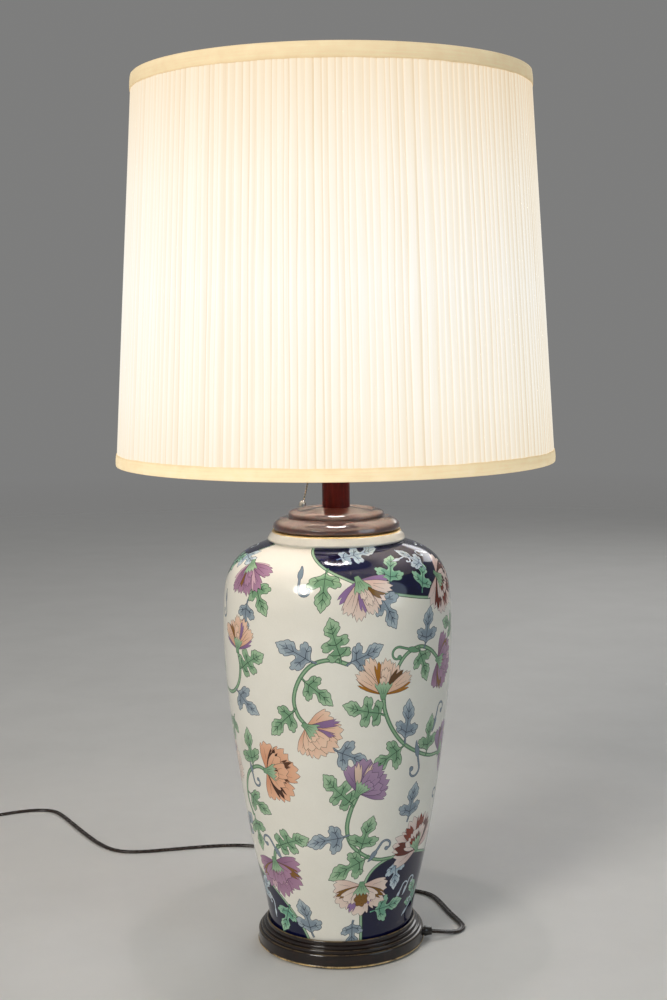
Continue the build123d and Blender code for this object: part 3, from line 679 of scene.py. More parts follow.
def moulded(name, c0, c1, r0=0.3, r1=0.45, scale=90.0, grain=2600.0, bump=0.12, spec=0.5):
    k = Mat(name)
    k.set(Specular_IOR_Level=spec)
    k.color(k.ramp(k.noise(k.coords(), scale, 5, 0.6), [(0.3, c0), (0.72, c1)]))
    k.rough(k.noise(k.coords(), scale * 3, 4, 0.6), r0, r1)
    k.bump(k.noise(k.coords(), grain, 2, 0.5), bump, 0.0002)
    return k.m


BRASS = metal("brass", (0.50, 0.30, 0.09), (0.72, 0.48, 0.18), 0.18, 0.36)
STEEL = metal("steel", (0.42, 0.42, 0.42), (0.60, 0.60, 0.59), 0.22, 0.40, 300, (1, 1, 0.15))
NICKEL = metal("nickel", (0.58, 0.57, 0.54), (0.72, 0.71, 0.67), 0.16, 0.30)
CHAIN = metal("chain_brass", (0.34, 0.28, 0.19), (0.54, 0.46, 0.33), 0.22, 0.40, 900)
FRAME_WIRE = metal("frame_wire", (0.55, 0.50, 0.40), (0.70, 0.66, 0.56), 0.30, 0.48, 400)
PHENOLIC = moulded("phenolic", (0.012, 0.010, 0.009), (0.030, 0.024, 0.020), 0.32, 0.5)
CARD = moulded("card", (0.42, 0.33, 0.22), (0.56, 0.46, 0.33), 0.75, 0.92, 160, 1500, 0.4, 0.2)
PLUG = moulded("plug_plastic", (0.016, 0.009, 0.006), (0.034, 0.019, 0.012), 0.34, 0.48, 120, 3200, 0.16)
BUSHING = moulded("bushing_plastic", (0.008, 0.007, 0.006), (0.016, 0.013, 0.011), 0.10, 0.18, 120, 3200, 0.05, 0.7)
TIE = moulded("tie_plastic", (0.03, 0.03, 0.03), (0.06, 0.06, 0.058), 0.35, 0.5)


def cord_material():
    k = Mat("cord_plastic")
    k.set(Specular_IOR_Level=0.55)
    k.color(k.ramp(k.noise(k.coords(), 70, 5, 0.6), [(0.3, (0.014, 0.008, 0.0055)), (0.75, (0.032, 0.019, 0.013))]))
    k.rough(k.noise(k.coords(), 260, 3, 0.5), 0.20, 0.34)
    k.bump(k.noise(k.coords(), 1500, 3, 0.5), 0.05, 0.0002)
    return k.m


def felt_material():
    k = Mat("felt")
    k.set(Sheen_Weight=0.4, Sheen_Roughness=0.5, Specular_IOR_Level=0.2)
    k.color(k.ramp(k.noise(k.coords(), 900, 6, 0.7), [(0.3, (0.010, 0.022, 0.014)), (0.75, (0.030, 0.052, 0.036))]))
    k.rough(k.noise(k.coords(), 400, 3, 0.5), 0.86, 0.98)
    k.bump(k.noise(k.coords(), 2600, 5, 0.7), 0.6, 0.0004)
    return k.m


def wood(name, dark, mid, light, rough, coat, coat_rough, grain=(14, 190, 190), worn=None, bump=0.05, spec=0.4, ior=1.5):
    """Lacquered turned wood; the attribute worn marks rubbed edges."""
    k = Mat(name)
    v = k.coords(grain)
    warp = k.noise(v, 1.0, 6, 0.62, 0.7)
    fine = k.noise(k.coords(tuple(g * 5.5 for g in grain)), 1.0, 3, 0.6)
    f = k.math("ADD", k.math("MULTIPLY", warp, 0.72), k.math("MULTIPLY", fine, 0.28))
    c = k.ramp(f, [(0.30, dark), (0.52, mid), (0.74, light)])
    if worn is not None:
        patch = k.noise(k.coords(), 120, 5, 0.7)
        w = k.math("MULTIPLY", k.attr("worn"), k.ramp(patch, [(0.34, 0.0), (0.52, 1.0)]))
        c = k.mix(w, c, worn)
    k.color(c)
    k.rough(k.noise(k.coords(), 160, 4, 0.6), rough[0], rough[1])
    k.set(Coat_Weight=coat, Coat_Roughness=coat_rough, Coat_IOR=ior, Specular_IOR_Level=spec)
    k.bump(f, bump, 0.0003)
    return k.m


CORD = cord_material()
FELT = felt_material()
WOOD_FOOT = wood("wood_dark", (0.0038, 0.0017, 0.0012), (0.0090, 0.0036, 0.0025), (0.028, 0.0098, 0.0058), (0.28, 0.44), 0.90, 0.07,
                 worn=(0.78, 0.54, 0.24), spec=0.12)
WOOD_CAP = wood("wood_cap", (0.037, 0.0080, 0.0046), (0.092, 0.0215, 0.0128), (0.180, 0.050, 0.030), (0.24, 0.36), 1.0, 0.08,
                worn=(0.20, 0.10, 0.045), spec=0.45, bump=0.025, ior=2.1)
WOOD_RED = wood("wood_red", (0.037, 0.0014, 0.0006), (0.083, 0.0040, 0.0015), (0.150, 0.012, 0.004), (0.40, 0.52), 0.12, 0.22,
                grain=(260, 260, 18), bump=0.12, spec=0.16)


def give(material, *names):
    for n in names:
        me = NODES[n].data
        me.materials.clear()
        me.materials.append(material)


give(FELT, "base_felt")
give(STEEL, "lamp_pipe", "bottom_nut", "bottom_washer", "drum_axle", "drum_spring", "bulb_contact")
give(BRASS, "neck_check_ring", "harp_saddle", "harp", "harp_stud", "harp_sleeve_front", "harp_sleeve_back", "socket_cap", "socket_shell",
     "socket_screw_shell", "socket_center_contact", "terminal_screws", "chain_guide", "plug_blades")
give(NICKEL, "bulb_base")
give(NICKEL, "chain_bell")
give(FRAME_WIRE, "shade_spider", "shade_top_ring", "shade_bottom_ring")
give(PHENOLIC, "socket_body", "switch_drum")
give(CARD, "socket_insulator")
give(CORD, "inner_cord", "lead_wires")
give(BUSHING, "cord_bushing")
give(PLUG, "plug_body")
give(TIE, "cord_tie")


# ------------------------------------------------------------------ cords
def spline_line(name, pts, res=12):
    """Points of a quadratic NURBS line with pts (mm) as control points, in metres."""
    cu = bpy.data.curves.new(name, "CURVE")
    cu.dimensions = "3D"
    sp = cu.splines.new("NURBS")
    sp.points.add(len(pts) - 1)
    for p, q in zip(sp.points, pts):
        p.co = (q[0] * MM, q[1] * MM, q[2] * MM, 1.0)
    sp.order_u = 3
    sp.use_endpoint_u = True
    cu.resolution_u = res
    sp.resolution_u = res
    ob = link(bpy.data.objects.new(name, cu))
    bpy.context.view_layer.update()
    me = bpy.data.meshes.new_from_object(ob)
    P = np.array([v.co for v in me.vertices], float)
    bpy.data.meshes.remove(me)
    bpy.data.objects.remove(ob)
    bpy.data.curves.remove(cu)
    keep = np.concatenate([[True], np.linalg.norm(np.diff(P, axis=0), axis=1) > 1e-7])
    return P[keep]


ROUTE = [(66, -4, 6.0), (83, -4.4, 6.0), (97, -1.6, 3.6), (108, 5.5, 1.6), (112.6, 16.5, 1.36), (109.2, 30, 1.36), (102.4, 50, 1.36), (96, 74, 1.36),
         (90.2, 93, 1.36), (80, 104, 1.36), (62, 111, 1.36), (36, 126, 1.36), (4, 158, 1.36), (-30, 196, 1.36), (-62, 229, 1.36), (-95, 246, 1.36),
         (-132, 245.5, 1.36), (-176, 236, 1.36), (-214, 227.5, 1.36), (-238, 232.5, 1.36), (-258, 255, 1.36), (-278, 288, 1.36), (-298, 324, 1.36),
         (-314, 353, 1.36), (-327, 371.5, 1.36), (-346, 375.5, 1.36), (-367, 370, 1.36), (-393, 356, 1.36), (-418, 342.5, 1.6), (-437, 334.2, 2.4)]
COIL_C = (-434.0, 296.0)
coil = []
TURNS, PER = 5.25, 16
for i in range(2, int(TURNS * PER) + 1):
    n = i / PER
    a = math.radians(90) + 2 * math.pi * n
    if n < 2.28:
        r = 35.6 - 5.26 * n + 1.2 * max(0.0, 1 - n / 0.3)
    elif n < 2.42:
        r = 23.6
    else:
        r = min(35.6, 23.6 + 5.26 * (n - 2.42))
    step = lambda x, x0, x1: (lambda s: s * s * (3 - 2 * s))(min(1.0, max(0.0, (x - x0) / (x1 - x0))))
    z = 2.4 + 2.66 * step(n, 2.16, 2.46) + 2.66 * step(n, 4.44, 4.76)
    wob = 0.25 * math.sin(3.1 * a + 0.7)
    coil.append((COIL_C[0] + (r + wob) * math.cos(a), COIL_C[1] + (r + wob) * math.sin(a), z))
TAIL = [(-469.3, 284, 7.6), (-469.4, 272, 7.4), (-468.8, 260, 7.8), (-468.4, 250, 8.2)]
lead_line = spline_line("lead_line", ROUTE + coil + TAIL, 10)

SECTION = [(1.28 + 1.31 * math.cos(math.radians(a)), 1.31 * math.sin(math.radians(a))) for a in range(-138, 139, 23)]
SECTION += [(-x, -y) for x, y in SECTION]


def ribbon(name, line, section, material):
    """Mesh tube of a flat section (mm) that keeps its width level along a line."""
    T = np.gradient(line, axis=0)
    T /= np.linalg.norm(T, axis=1)[:, None]
    S = np.cross(T, [0, 0, 1.0])
    S /= np.linalg.norm(S, axis=1)[:, None]
    U = np.cross(S, T)
    k = len(section)
    V = (line[:, None, :] + S[:, None, :] * np.array([p[0] for p in section])[None, :, None] * MM
         + U[:, None, :] * np.array([p[1] for p in section])[None, :, None] * MM).reshape(-1, 3)
    n = len(line)
    F = [(i * k + j, i * k + (j + 1) % k, (i + 1) * k + (j + 1) % k, (i + 1) * k + j) for i in range(n - 1) for j in range(k)]
    F.append(tuple(range(k))[::-1])
    F.append(tuple((n - 1) * k + j for j in range(k)))
    ob = build(name, V, F, None, [material], 50)
    bm = bmesh.new(); bm.from_mesh(ob.data)
    bmesh.ops.recalc_face_normals(bm, faces=bm.faces)
    bm.to_mesh(ob.data); bm.free()
    return ob


lead = ribbon("lead", lead_line, SECTION, CORD)
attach(lead, "lamp")
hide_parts("power_cord", "cord_coil", "cord_tail")

CHAIN_PTS = [(-1, 0, 495.634), (-13.8, 0, 495.634), (-24.6, 0, 495.634), (-24.62, 0, 484.8), (-24.3, 0, 462), (-23.2, 0, 436), (-23.6, 0, 415), (-28.79, 0, 397.6)]
chain_line = spline_line("chain_line", CHAIN_PTS, 24)


def bead_chain(name, line, bead=0.9, pitch=2.35, wire=0.3):
    """Ball chain: round beads on short links along a line."""
    d = np.concatenate([[0], np.cumsum(np.linalg.norm(np.diff(line, axis=0), axis=1))])
    at_ = lambda s: np.array([np.interp(s, d, line[:, k]) for k in range(3)])
    bm = bmesh.new()
    n = int(d[-1] / (pitch * MM))
    for i in range(n + 1):
        p = at_(min(d[-1], i * d[-1] / n))
        bmesh.ops.create_uvsphere(bm, u_segments=12, v_segments=8, radius=bead * MM, matrix=Matrix.Translation(Vector(p)))
    T = np.gradient(line, axis=0)
    T /= np.linalg.norm(T, axis=1)[:, None]
    S = np.tile([0, 1.0, 0], (len(line), 1))
    U = np.cross(S, T)
    rows = []
    for p, s, u in zip(line, S, U):
        rows.append([bm.verts.new(Vector(p + wire * MM * (s * math.cos(a) + u * math.sin(a)))) for a in np.linspace(0, 2 * math.pi, 6, endpoint=False)])
    for a, b in zip(rows[:-1], rows[1:]):
        for j in range(6):
            bm.faces.new((a[j], a[(j + 1) % 6], b[(j + 1) % 6], b[j]))
    bm.faces.new(rows[0][::-1])
    bm.faces.new(rows[-1])
    bmesh.ops.recalc_face_normals(bm, faces=bm.faces)
    me = bpy.data.meshes.new(name)
    bm.to_mesh(me); bm.free()
    me.polygons.foreach_set("use_smooth", [True] * len(me.polygons))
    me.materials.append(CHAIN)
    return link(bpy.data.objects.new(name, me))


chain = bead_chain("ball_chain", chain_line)
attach(chain, "chain")
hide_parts("pull_chain")


# ------------------------------------------------------------------ turned pieces
def worn_edges(ob, marks):
    """Marks rubbed edges: (r, z, reach) in mm."""
    co = np.array([v.co for v in ob.data.vertices]) * 1000
    r, z = np.hypot(co[:, 0], co[:, 1]), co[:, 2]
    w = np.zeros(len(co))
    for mr, mz, reach, amount in marks:
        w = np.maximum(w, amount * np.clip(1.4 - np.hypot(r - mr, z - mz) / reach, 0, 1))
    put_float(ob.data, "worn", np.clip(w, 0, 1))


FOOT = outline((46, 1.6), ("L", (73.9, 1.6)), ("A", (74.65, 1.95), (74.9, 2.6)), ("A", (74.75, 3.15), (74.3, 3.6)), ("L", (74.3, 7.3)), ("L", (74.3, 11.0)),
               ("A", (73.7, 12.5), (72.2, 13.2)), ("L", (71.7, 13.3)), ("L", (71.7, 14.7)), ("A", (71.35, 15.55), (70.4, 15.9)), ("L", (69.1, 16.1)),
               ("L", (69.1, 17.6)), ("A", (68.75, 18.45), (67.9, 18.8)), ("L", (66.9, 19.0)), ("L", (66.9, 21.4)), ("A", (66.55, 22.2), (65.7, 22.5)),
               ("A", (64.8, 22.3), (64.3, 21.6)), ("L", (64.3, 19)), ("L", (6.2, 19)), ("L", (6.2, 15)), ("L", (20, 15)), ("L", (20, 11)), ("L", (46, 11)))
foot = lathe("turned_foot", FOOT, 200, [WOOD_FOOT], smooth=35)
worn_edges(foot, [(74.85, 2.0, 1.15, 1.0), (66.2, 22.4, 0.6, 0.22), (73.4, 12.8, 0.5, 0.12), (70.9, 15.75, 0.4, 0.10)])
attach(foot, "lamp"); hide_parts("base_plinth")

CAP = outline((5.4, 367.4), ("L", (49.5, 367.4)), ("L", (50.3, 368.2)), ("L", (50.3, 373.2)), ("L", (53.8, 373.2)), ("A", (55.15, 374.3), (55.6, 376.0)),
              ("S", [(55.1, 378.4), (53.0, 381.0), (49.2, 383.1), (44.6, 384.3)]), ("L", (43.0, 384.4)), ("L", (41.9, 384.2)), ("L", (41.7, 384.7)), ("A", (42.2, 385.3), (42.4, 386.0)),
              ("S", [(41.6, 388.0), (39.2, 389.8), (36.4, 390.5)]), ("A", (34.4, 390.5), (32.6, 389.7)), ("L", (31.2, 389.1)),
              ("S", [(27.0, 389.7), (21.0, 390.8), (16.0, 391.8), (13.2, 392.4)]), ("L", (5.4, 392.4)))
cap = lathe("turned_cap", CAP, 200, [WOOD_CAP], smooth=35)
worn_edges(cap, [(54.6, 373.5, 0.5, 0.2), (32.9, 389.9, 0.4, 0.15)])
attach(cap, "lamp"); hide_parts("vase_cap")

NECK = outline((5.5, 392.4), ("L", (12.1, 392.4)), ("L", (12.1, 410)), ("L", (12.1, 430)), ("L", (12.1, 450)), ("L", (12.1, 469.2)), ("A", (11.9, 469.8), (11.3, 470.0)), ("L", (5.5, 470)))
neck = lathe("turned_neck", NECK, 96, [WOOD_RED], smooth=35)
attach(neck, "lamp"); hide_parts("neck_tube")

FZ = 745.6
FIN = outline((3.4, FZ), ("L", (7.8, FZ)), ("L", (8.0, FZ + 0.3)), ("L", (8.0, FZ + 1.6)), ("A", (7.0, FZ + 2.6), (6.2, FZ + 3.6)), ("S", [(4.9, FZ + 6), (5.4, FZ + 9)]), ("L", (5.6, FZ + 10)),
              ("L", (3.4, FZ + 10)))
fin_base = lathe("finial_stem", FIN, 72, [BRASS], smooth=35)
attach(fin_base, "finial"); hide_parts("finial_base")
KNOB = outline((0, FZ + 10), ("L", (5.6, FZ + 10)), ("S", [(7.6, FZ + 12.6), (8.6, FZ + 16.4), (7.2, FZ + 20.8), (4.2, FZ + 23.9), (1.6, FZ + 25.1)]), ("L", (0, FZ + 25.4)))
fin_knob = lathe("finial_ball", KNOB, 72, [BRASS], smooth=35)
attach(fin_knob, "finial"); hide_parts("finial_knob")


# ------------------------------------------------------------------ vase
def cut_print():
    """Cuts one half-turn of the print into coloured triangles: points (u, t), triangles, polygon of each triangle."""
    pr = draw()
    W = math.pi * RREF
    lo, hi, top = -W / 2, W / 2, T_TOP
    ground = np.array([(lo, 0), (hi, 0), (hi, top), (lo, top)])
    polys = [(ground, WHITE, None, None)]
    for pts, c0, c1, ax in pr.polys:
        for sh in (-W, 0.0, W):
            P = pts + [sh, 0]
            if P[:, 0].max() < lo or P[:, 0].min() > hi or P[:, 1].max() < 0 or P[:, 1].min() > top:
                continue
            if np.sum(P[:, 0] * np.roll(P[:, 1], -1) - np.roll(P[:, 0], -1) * P[:, 1]) < 0:
                P = np.roll(P[::-1], 1, 0)
            polys.append((P, c0, c1, None if ax is None else (np.asarray(ax[0]) + [sh, 0], np.asarray(ax[1]) + [sh, 0])))
    V, F = [], []
    for P, *_ in polys:
        n = len(V)
        V += [Vector((float(x), float(y))) for x, y in P]
        F.append(list(range(n, n + len(P))))
    vs, _, fs, _, _, ids = mgeo.delaunay_2d_cdt(V, [], F, 1, 1e-4, True)
    X = np.array([tuple(v) for v in vs])
    tri, own = [], []
    for f, i in zip(fs, ids):
        if 0 in i:
            tri.append(f); own.append(max(i))
    tri, own = np.array(tri), np.array(own)
    # visible lines: edges between differently coloured pieces, and the frame
    E = np.sort(np.concatenate([tri[:, [0, 1]], tri[:, [1, 2]], tri[:, [2, 0]]]), axis=1)
    who = np.tile(np.arange(len(tri)), 3)
    order = np.lexsort((E[:, 1], E[:, 0]))
    E, who = E[order], who[order]
    lines = set()
    i = 0
    while i < len(E):
        if i + 1 < len(E) and E[i, 0] == E[i + 1, 0] and E[i, 1] == E[i + 1, 1]:
            if own[who[i]] != own[who[i + 1]]:
                lines.add((int(E[i, 0]), int(E[i, 1])))
            i += 2
        else:
            lines.add((int(E[i, 0]), int(E[i, 1])))
            i += 1
    near = {}
    for a, b in lines:
        near.setdefault(a, []).append(b)
        near.setdefault(b, []).append(a)

    def rim(v):
        x, y = X[v]
        return (abs(x - lo) < 1e-3, abs(x - hi) < 1e-3, abs(y) < 1e-3, abs(y - top) < 1e-3)

    node = {v for v, q in near.items() if len(q) != 2 or any(rim(v)) and any(rim(v) != rim(w) for w in q)}
    done, chains = set(), []
    for s in list(node) + list(near):
        for nx in near[s]:
            if (s, nx) in done:
                continue
            path = [s, nx]
            done.add((s, nx)); done.add((nx, s))
            while path[-1] not in node and path[-1] != s:
                q = [w for w in near[path[-1]] if w != path[-2]]
                if not q or (path[-1], q[0]) in done:
                    break
                done.add((path[-1], q[0])); done.add((q[0], path[-1]))
                path.append(q[0])
            chains.append(path)

    def thin(path, tol=0.045):
        P = X[path]
        keep = [0, len(path) - 1]
        if path[0] == path[-1]:
            keep.append(int(np.argmax(np.linalg.norm(P - P[0], axis=1))))
        stack = [(a, b) for a, b in zip(sorted(keep)[:-1], sorted(keep)[1:])]
        while stack:
            a, b = stack.pop()
            if b - a < 2:
                continue
            d = P[b] - P[a]
            n = np.linalg.norm(d)
            q = P[a + 1:b] - P[a]
            off = np.linalg.norm(q, axis=1) if n < 1e-9 else np.abs(d[0] * q[:, 1] - d[1] * q[:, 0]) / n
            k = int(np.argmax(off))
            if off[k] > tol:
                keep.append(a + 1 + k)
                stack += [(a, a + 1 + k), (a + 1 + k, b)]
        return [path[k] for k in sorted(set(keep))]

    index, pts, edges = {}, [], []

    def vid(v):
        if v not in index:
            index[v] = len(pts)
            x, y = X[v]
            x = lo if abs(x - lo) < 2e-3 else hi if abs(x - hi) < 2e-3 else x
            y = 0.0 if abs(y) < 2e-3 else top if abs(y - top) < 2e-3 else y
            pts.append((x, y))
        return index[v]

    for c in chains:
        c = thin(c)
        for a, b in zip(c[:-1], c[1:]):
            if a != b:
                edges.append((vid(a), vid(b)))
    us, ts = np.linspace(lo, hi, 49), np.linspace(0, top, 57)
    for y in ts:
        for x in us:
            pts.append((float(x), float(y)))
    vs2, es2, fs2, _, oe, _ = mgeo.delaunay_2d_cdt([Vector(p) for p in pts], edges, [], 0, 1e-4, True)
    Y = np.array([tuple(v) for v in vs2])
    wall = {tuple(sorted(e)) for e, o in zip(es2, oe) if o}
    tri2 = np.array(fs2)
    group = list(range(len(tri2)))

    def root(a):
        while group[a] != a:
            group[a] = group[group[a]]
            a = group[a]
        return a

    side = {}
    for k, f in enumerate(fs2):
        for a, b in ((f[0], f[1]), (f[1], f[2]), (f[2], f[0])):
            e = (a, b) if a < b else (b, a)
            if e in wall:
                continue
            if e in side:
                ra, rb = root(side[e]), root(k)
                if ra != rb:
                    group[ra] = rb
            else:
                side[e] = k
    tree = BVHTree.FromPolygons([(p[0], p[1], 0.0) for p in X], [tuple(map(int, f)) for f in tri])
    A, B, C = Y[tri2[:, 0]], Y[tri2[:, 1]], Y[tri2[:, 2]]
    area = 0.5 * ((B[:, 0] - A[:, 0]) * (C[:, 1] - A[:, 1]) - (C[:, 0] - A[:, 0]) * (B[:, 1] - A[:, 1]))
    mid = (A + B + C) / 3
    votes = {}
    for k in range(len(tri2)):
        hit = tree.find_nearest((mid[k, 0], mid[k, 1], 0.0))[2]
        if hit is None:
            continue
        v = votes.setdefault(root(k), {})
        o = int(own[hit])
        v[o] = v.get(o, 0.0) + abs(area[k])
    pick = {g: max(v, key=v.get) for g, v in votes.items()}
    owner = np.array([pick.get(root(k), 0) for k in range(len(tri2))])
    flip = area < 0
    tri2[flip] = tri2[flip][:, ::-1]
    good = np.abs(area) > 1e-9
    tri2, owner = tri2[good], owner[good]
    P = Y[tri2]                       # triangles x corner x 2
    col = np.zeros((len(tri2), 3, 3))
    for k, o in enumerate(owner):
        _, c0, c1, ax = polys[o]
        if c1 is None:
            col[k] = c0
        else:
            d = ax[1] - ax[0]
            f = np.clip(((P[k] - ax[0]) @ d) / (d @ d), 0, 1)[:, None]
            col[k] = c0 * (1 - f) + c1 * f
    return Y, tri2, col


def zipper(a, b, angle):
    """Triangles between two closed rings of vertex ids, both sorted by angle."""
    i = j = 0
    n, m = len(a), len(b)
    out = []
    while i < n or j < m:
        ai = angle[a[i % n]] + (2 * math.pi if i >= n else 0)
        bj = angle[b[j % m]] + (2 * math.pi if j >= m else 0)
        an = angle[a[(i + 1) % n]] + (2 * math.pi if i + 1 >= n else 0)
        bn = angle[b[(j + 1) % m]] + (2 * math.pi if j + 1 >= m else 0)
        if j >= m or (i < n and an <= bn):
            out.append((a[i % n], a[(i + 1) % n], b[j % m])); i += 1
        else:
            out.append((a[i % n], b[(j + 1) % m], b[j % m])); j += 1
    return out


def vase_material():
    k = Mat("glazed_porcelain")
    c = k.attr("print", "Color")
    mottle = k.noise(k.coords(), 34, 5, 0.6)
    fine = k.noise(k.coords(), 900, 3, 0.6)
    f = k.math("ADD", k.math("MULTIPLY", mottle, 0.14), k.math("MULTIPLY", fine, 0.08))
    tone = k.ramp(f, [(0.05, (0.93, 0.925, 0.91)), (0.17, (1.03, 1.03, 1.03))])
    k.color(k.mix(1.0, c, tone, "MULTIPLY"))
    k.rough(k.noise(k.coords(), 60, 4, 0.6), 0.06, 0.13)
    k.set(IOR=1.5, Specular_IOR_Level=0.5)
    h = k.math("ADD", k.noise(k.coords(), 26, 2, 0.4), k.math("MULTIPLY", k.noise(k.coords(), 700, 2, 0.5), 0.03))
    k.bump(h, 0.10, 0.0016)
    return k.m


def make_vase():
    Y, tri, col = cut_print()
    W = math.pi * RREF
    slope = lambda t: ((vase_r(t + 0.05) - vase_r(t - 0.05)), (vase_z(t + 0.05) - vase_z(t - 0.05)))
    verts, nor, key, ang = [], [], {}, []
    faces, colors, uvs = [], [], []

    def vert(th, r, z, nr, nz):
        th = (th + 1e-7) % (2 * math.pi) - 1e-7
        k = (round(th * 4e4) % round(2 * math.pi * 4e4), round(r * 400), round(z * 400))
        if k not in key:
            key[k] = len(verts)
            verts.append((r * MM * math.cos(th), r * MM * math.sin(th), z * MM))
            nor.append((nr * math.cos(th), nr * math.sin(th), nz))
            ang.append(th % (2 * math.pi))
        return key[k]

    t = np.clip(Y[:, 1], 0, T_TOP)
    R, Z = vase_r(t), vase_z(t)
    dr, dz = slope(np.clip(t, 0.06, T_TOP - 0.06))
    n = np.hypot(dr, dz)
    rim_top, rim_low = set(), set()
    for half in (0, 1):
        base = -math.pi / 2 + half * math.pi      # the print's middle faces -Y
        ids = [vert(base + Y[i, 0] / RREF, float(R[i]), float(Z[i]), float(dz[i] / n[i]), float(-dr[i] / n[i])) for i in range(len(Y))]
        for i in range(len(Y)):
            if Y[i, 1] > T_TOP - 1e-3:
                rim_top.add(ids[i])
            if Y[i, 1] < 1e-3:
                rim_low.add(ids[i])
        for f, c in zip(tri, col):
            g = [ids[q] for q in f]
            if len(set(g)) < 3:
                continue
            faces.append(g)
            colors += [c[0], c[1], c[2]]
            for q in f:
                uvs.append(((Y[q, 0] / W + 0.5 + half) / 2, 0.02 + 0.80 * Y[q, 1] / T_TOP))
    n_print = len(faces)
    seam = {}                                     # colours where the print meets the collar
    at_corner = iter(colors)
    for f in faces:
        c = [next(at_corner) for _ in f]
        for p, q in ((0, 1), (1, 2), (2, 0)):
            if f[p] in rim_top and f[q] in rim_top:
                seam[frozenset((f[p], f[q]))] = {f[p]: c[p], f[q]: c[q]}
    # collar, lip, inside, floor and foot ring
    top = outline((60.6, 362.6), ("A", (59.4, 363.3), (59.3, 364.1), 4), ("A", (60.35, 364.75), (60.7, 365.8), 4), ("S", [(59.3, 368.4), (57.6, 371.1), (56.7, 372.1)]),
                  ("A", (56.3, 372.65), (55.6, 372.8), 4), ("L", (52.3, 372.8)), ("A", (51.7, 372.5), (51.5, 372.0), 3), ("L", (51.5, 361.0)), ("A", (53.2, 358.6), (56.0, 358.0), 4),
                  ("L", (63.0, 355.4)), ("L", (72.5, 351.6)), ("L", (80.6, 346.0)), ("L", (86.6, 338.6)), ("L", (91.4, 329.0)), ("L", (94.2, 317)), ("L", (95.9, 283)), ("L", (92.6, 225)), ("L", (83.0, 150)),
                  ("L", (69.6, 75)), ("L", (61.0, 32)), ("L", (58.5, 27.4)), ("L", (8.0, 27.0)), ("L", (8.0, 19.0)), ("L", (62.4, 19.0)))
    ring0 = sorted(rim_top, key=lambda q: ang[q])
    low = sorted(rim_low, key=lambda q: ang[q])
    rings = [ring0]
    total = len(top)
    for i in range(1, total):
        a, b = np.array(top[max(i - 1, 0)]), np.array(top[min(i + 1, total - 1)])
        d = (b - a) / (np.linalg.norm(b - a) + 1e-9)
        row = []
        for q in ring0:
            row.append(len(verts))
            th = ang[q]
            verts.append((top[i][0] * MM * math.cos(th), top[i][0] * MM * math.sin(th), top[i][1] * MM))
            nor.append((d[1] * math.cos(th), d[1] * math.sin(th), -d[0]))
            ang.append(th)
        rings.append(row)
    gilt = []
    m = len(ring0)
    for i in range(total - 1):
        a, b = rings[i], rings[i + 1]
        r0, z0 = top[i]
        for j in range(m):
            q = (j + 1) % m
            faces.append([a[j], a[q], b[q], b[j]])
            tint = seam.get(frozenset((ring0[j], ring0[q]))) if z0 < 364.0 else None
            colors += [WHITE] * 4 if tint is None else [tint[ring0[j]], tint[ring0[q]], tint[ring0[q]], tint[ring0[j]]]
            v0, v1 = 0.83 + 0.14 * i / total, 0.83 + 0.14 * (i + 1) / total
            uvs += [(j / m, v0), ((j + 1) / m, v0), ((j + 1) / m, v1), (j / m, v1)]
            gilt.append(1 if z0 > 371.7 and r0 > 53.0 else 0)
    for f in zipper(rings[-1], low, ang):
        faces.append(list(f))
        colors += [WHITE] * 3
        uvs += [(ang[f[0]] / 6.2832, 0.985), (ang[f[1]] / 6.2832, 0.985), (ang[f[2]] / 6.2832, 0.995)]
        gilt.append(0)
    me = bpy.data.meshes.new("printed_vase")
    me.from_pydata(verts, [], faces)
    layer = me.uv_layers.new(name="OFBake")
    layer.data.foreach_set("uv", np.asarray(uvs, np.float32).ravel())
    put_color(me, "print", np.asarray(colors, np.float32))
    g = Mat("gilt_line")
    g.set(Metallic=1.0)
    g.color(g.ramp(g.noise(g.coords(), 110, 3, 0.5), [(0.3, (0.80, 0.56, 0.22)), (0.7, (0.94, 0.73, 0.36))]))
    g.rough(g.noise(g.coords(), 240, 3, 0.5), 0.26, 0.36)
    me.materials.append(vase_material())
    me.materials.append(g.m)
    me.polygons.foreach_set("material_index", [0] * n_print + gilt)
    me.polygons.foreach_set("use_smooth", [True] * len(me.polygons))
    me.update()
    me.normals_split_custom_set_from_vertices([Vector(v).normalized() for v in nor])
    ob = link(bpy.data.objects.new("printed_vase", me))
    print("vase", len(verts), "points", len(faces), "faces")
    return ob


vase = make_vase()
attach(vase, "lamp"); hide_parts("vase")


# ------------------------------------------------------------------ shade
Z0, Z1, R0, R1 = 433.0, 761.0, 190.5, 169.8


def shade_r(z):
    return R0 + (R1 - R0) * (z - Z0) / (Z1 - Z0)


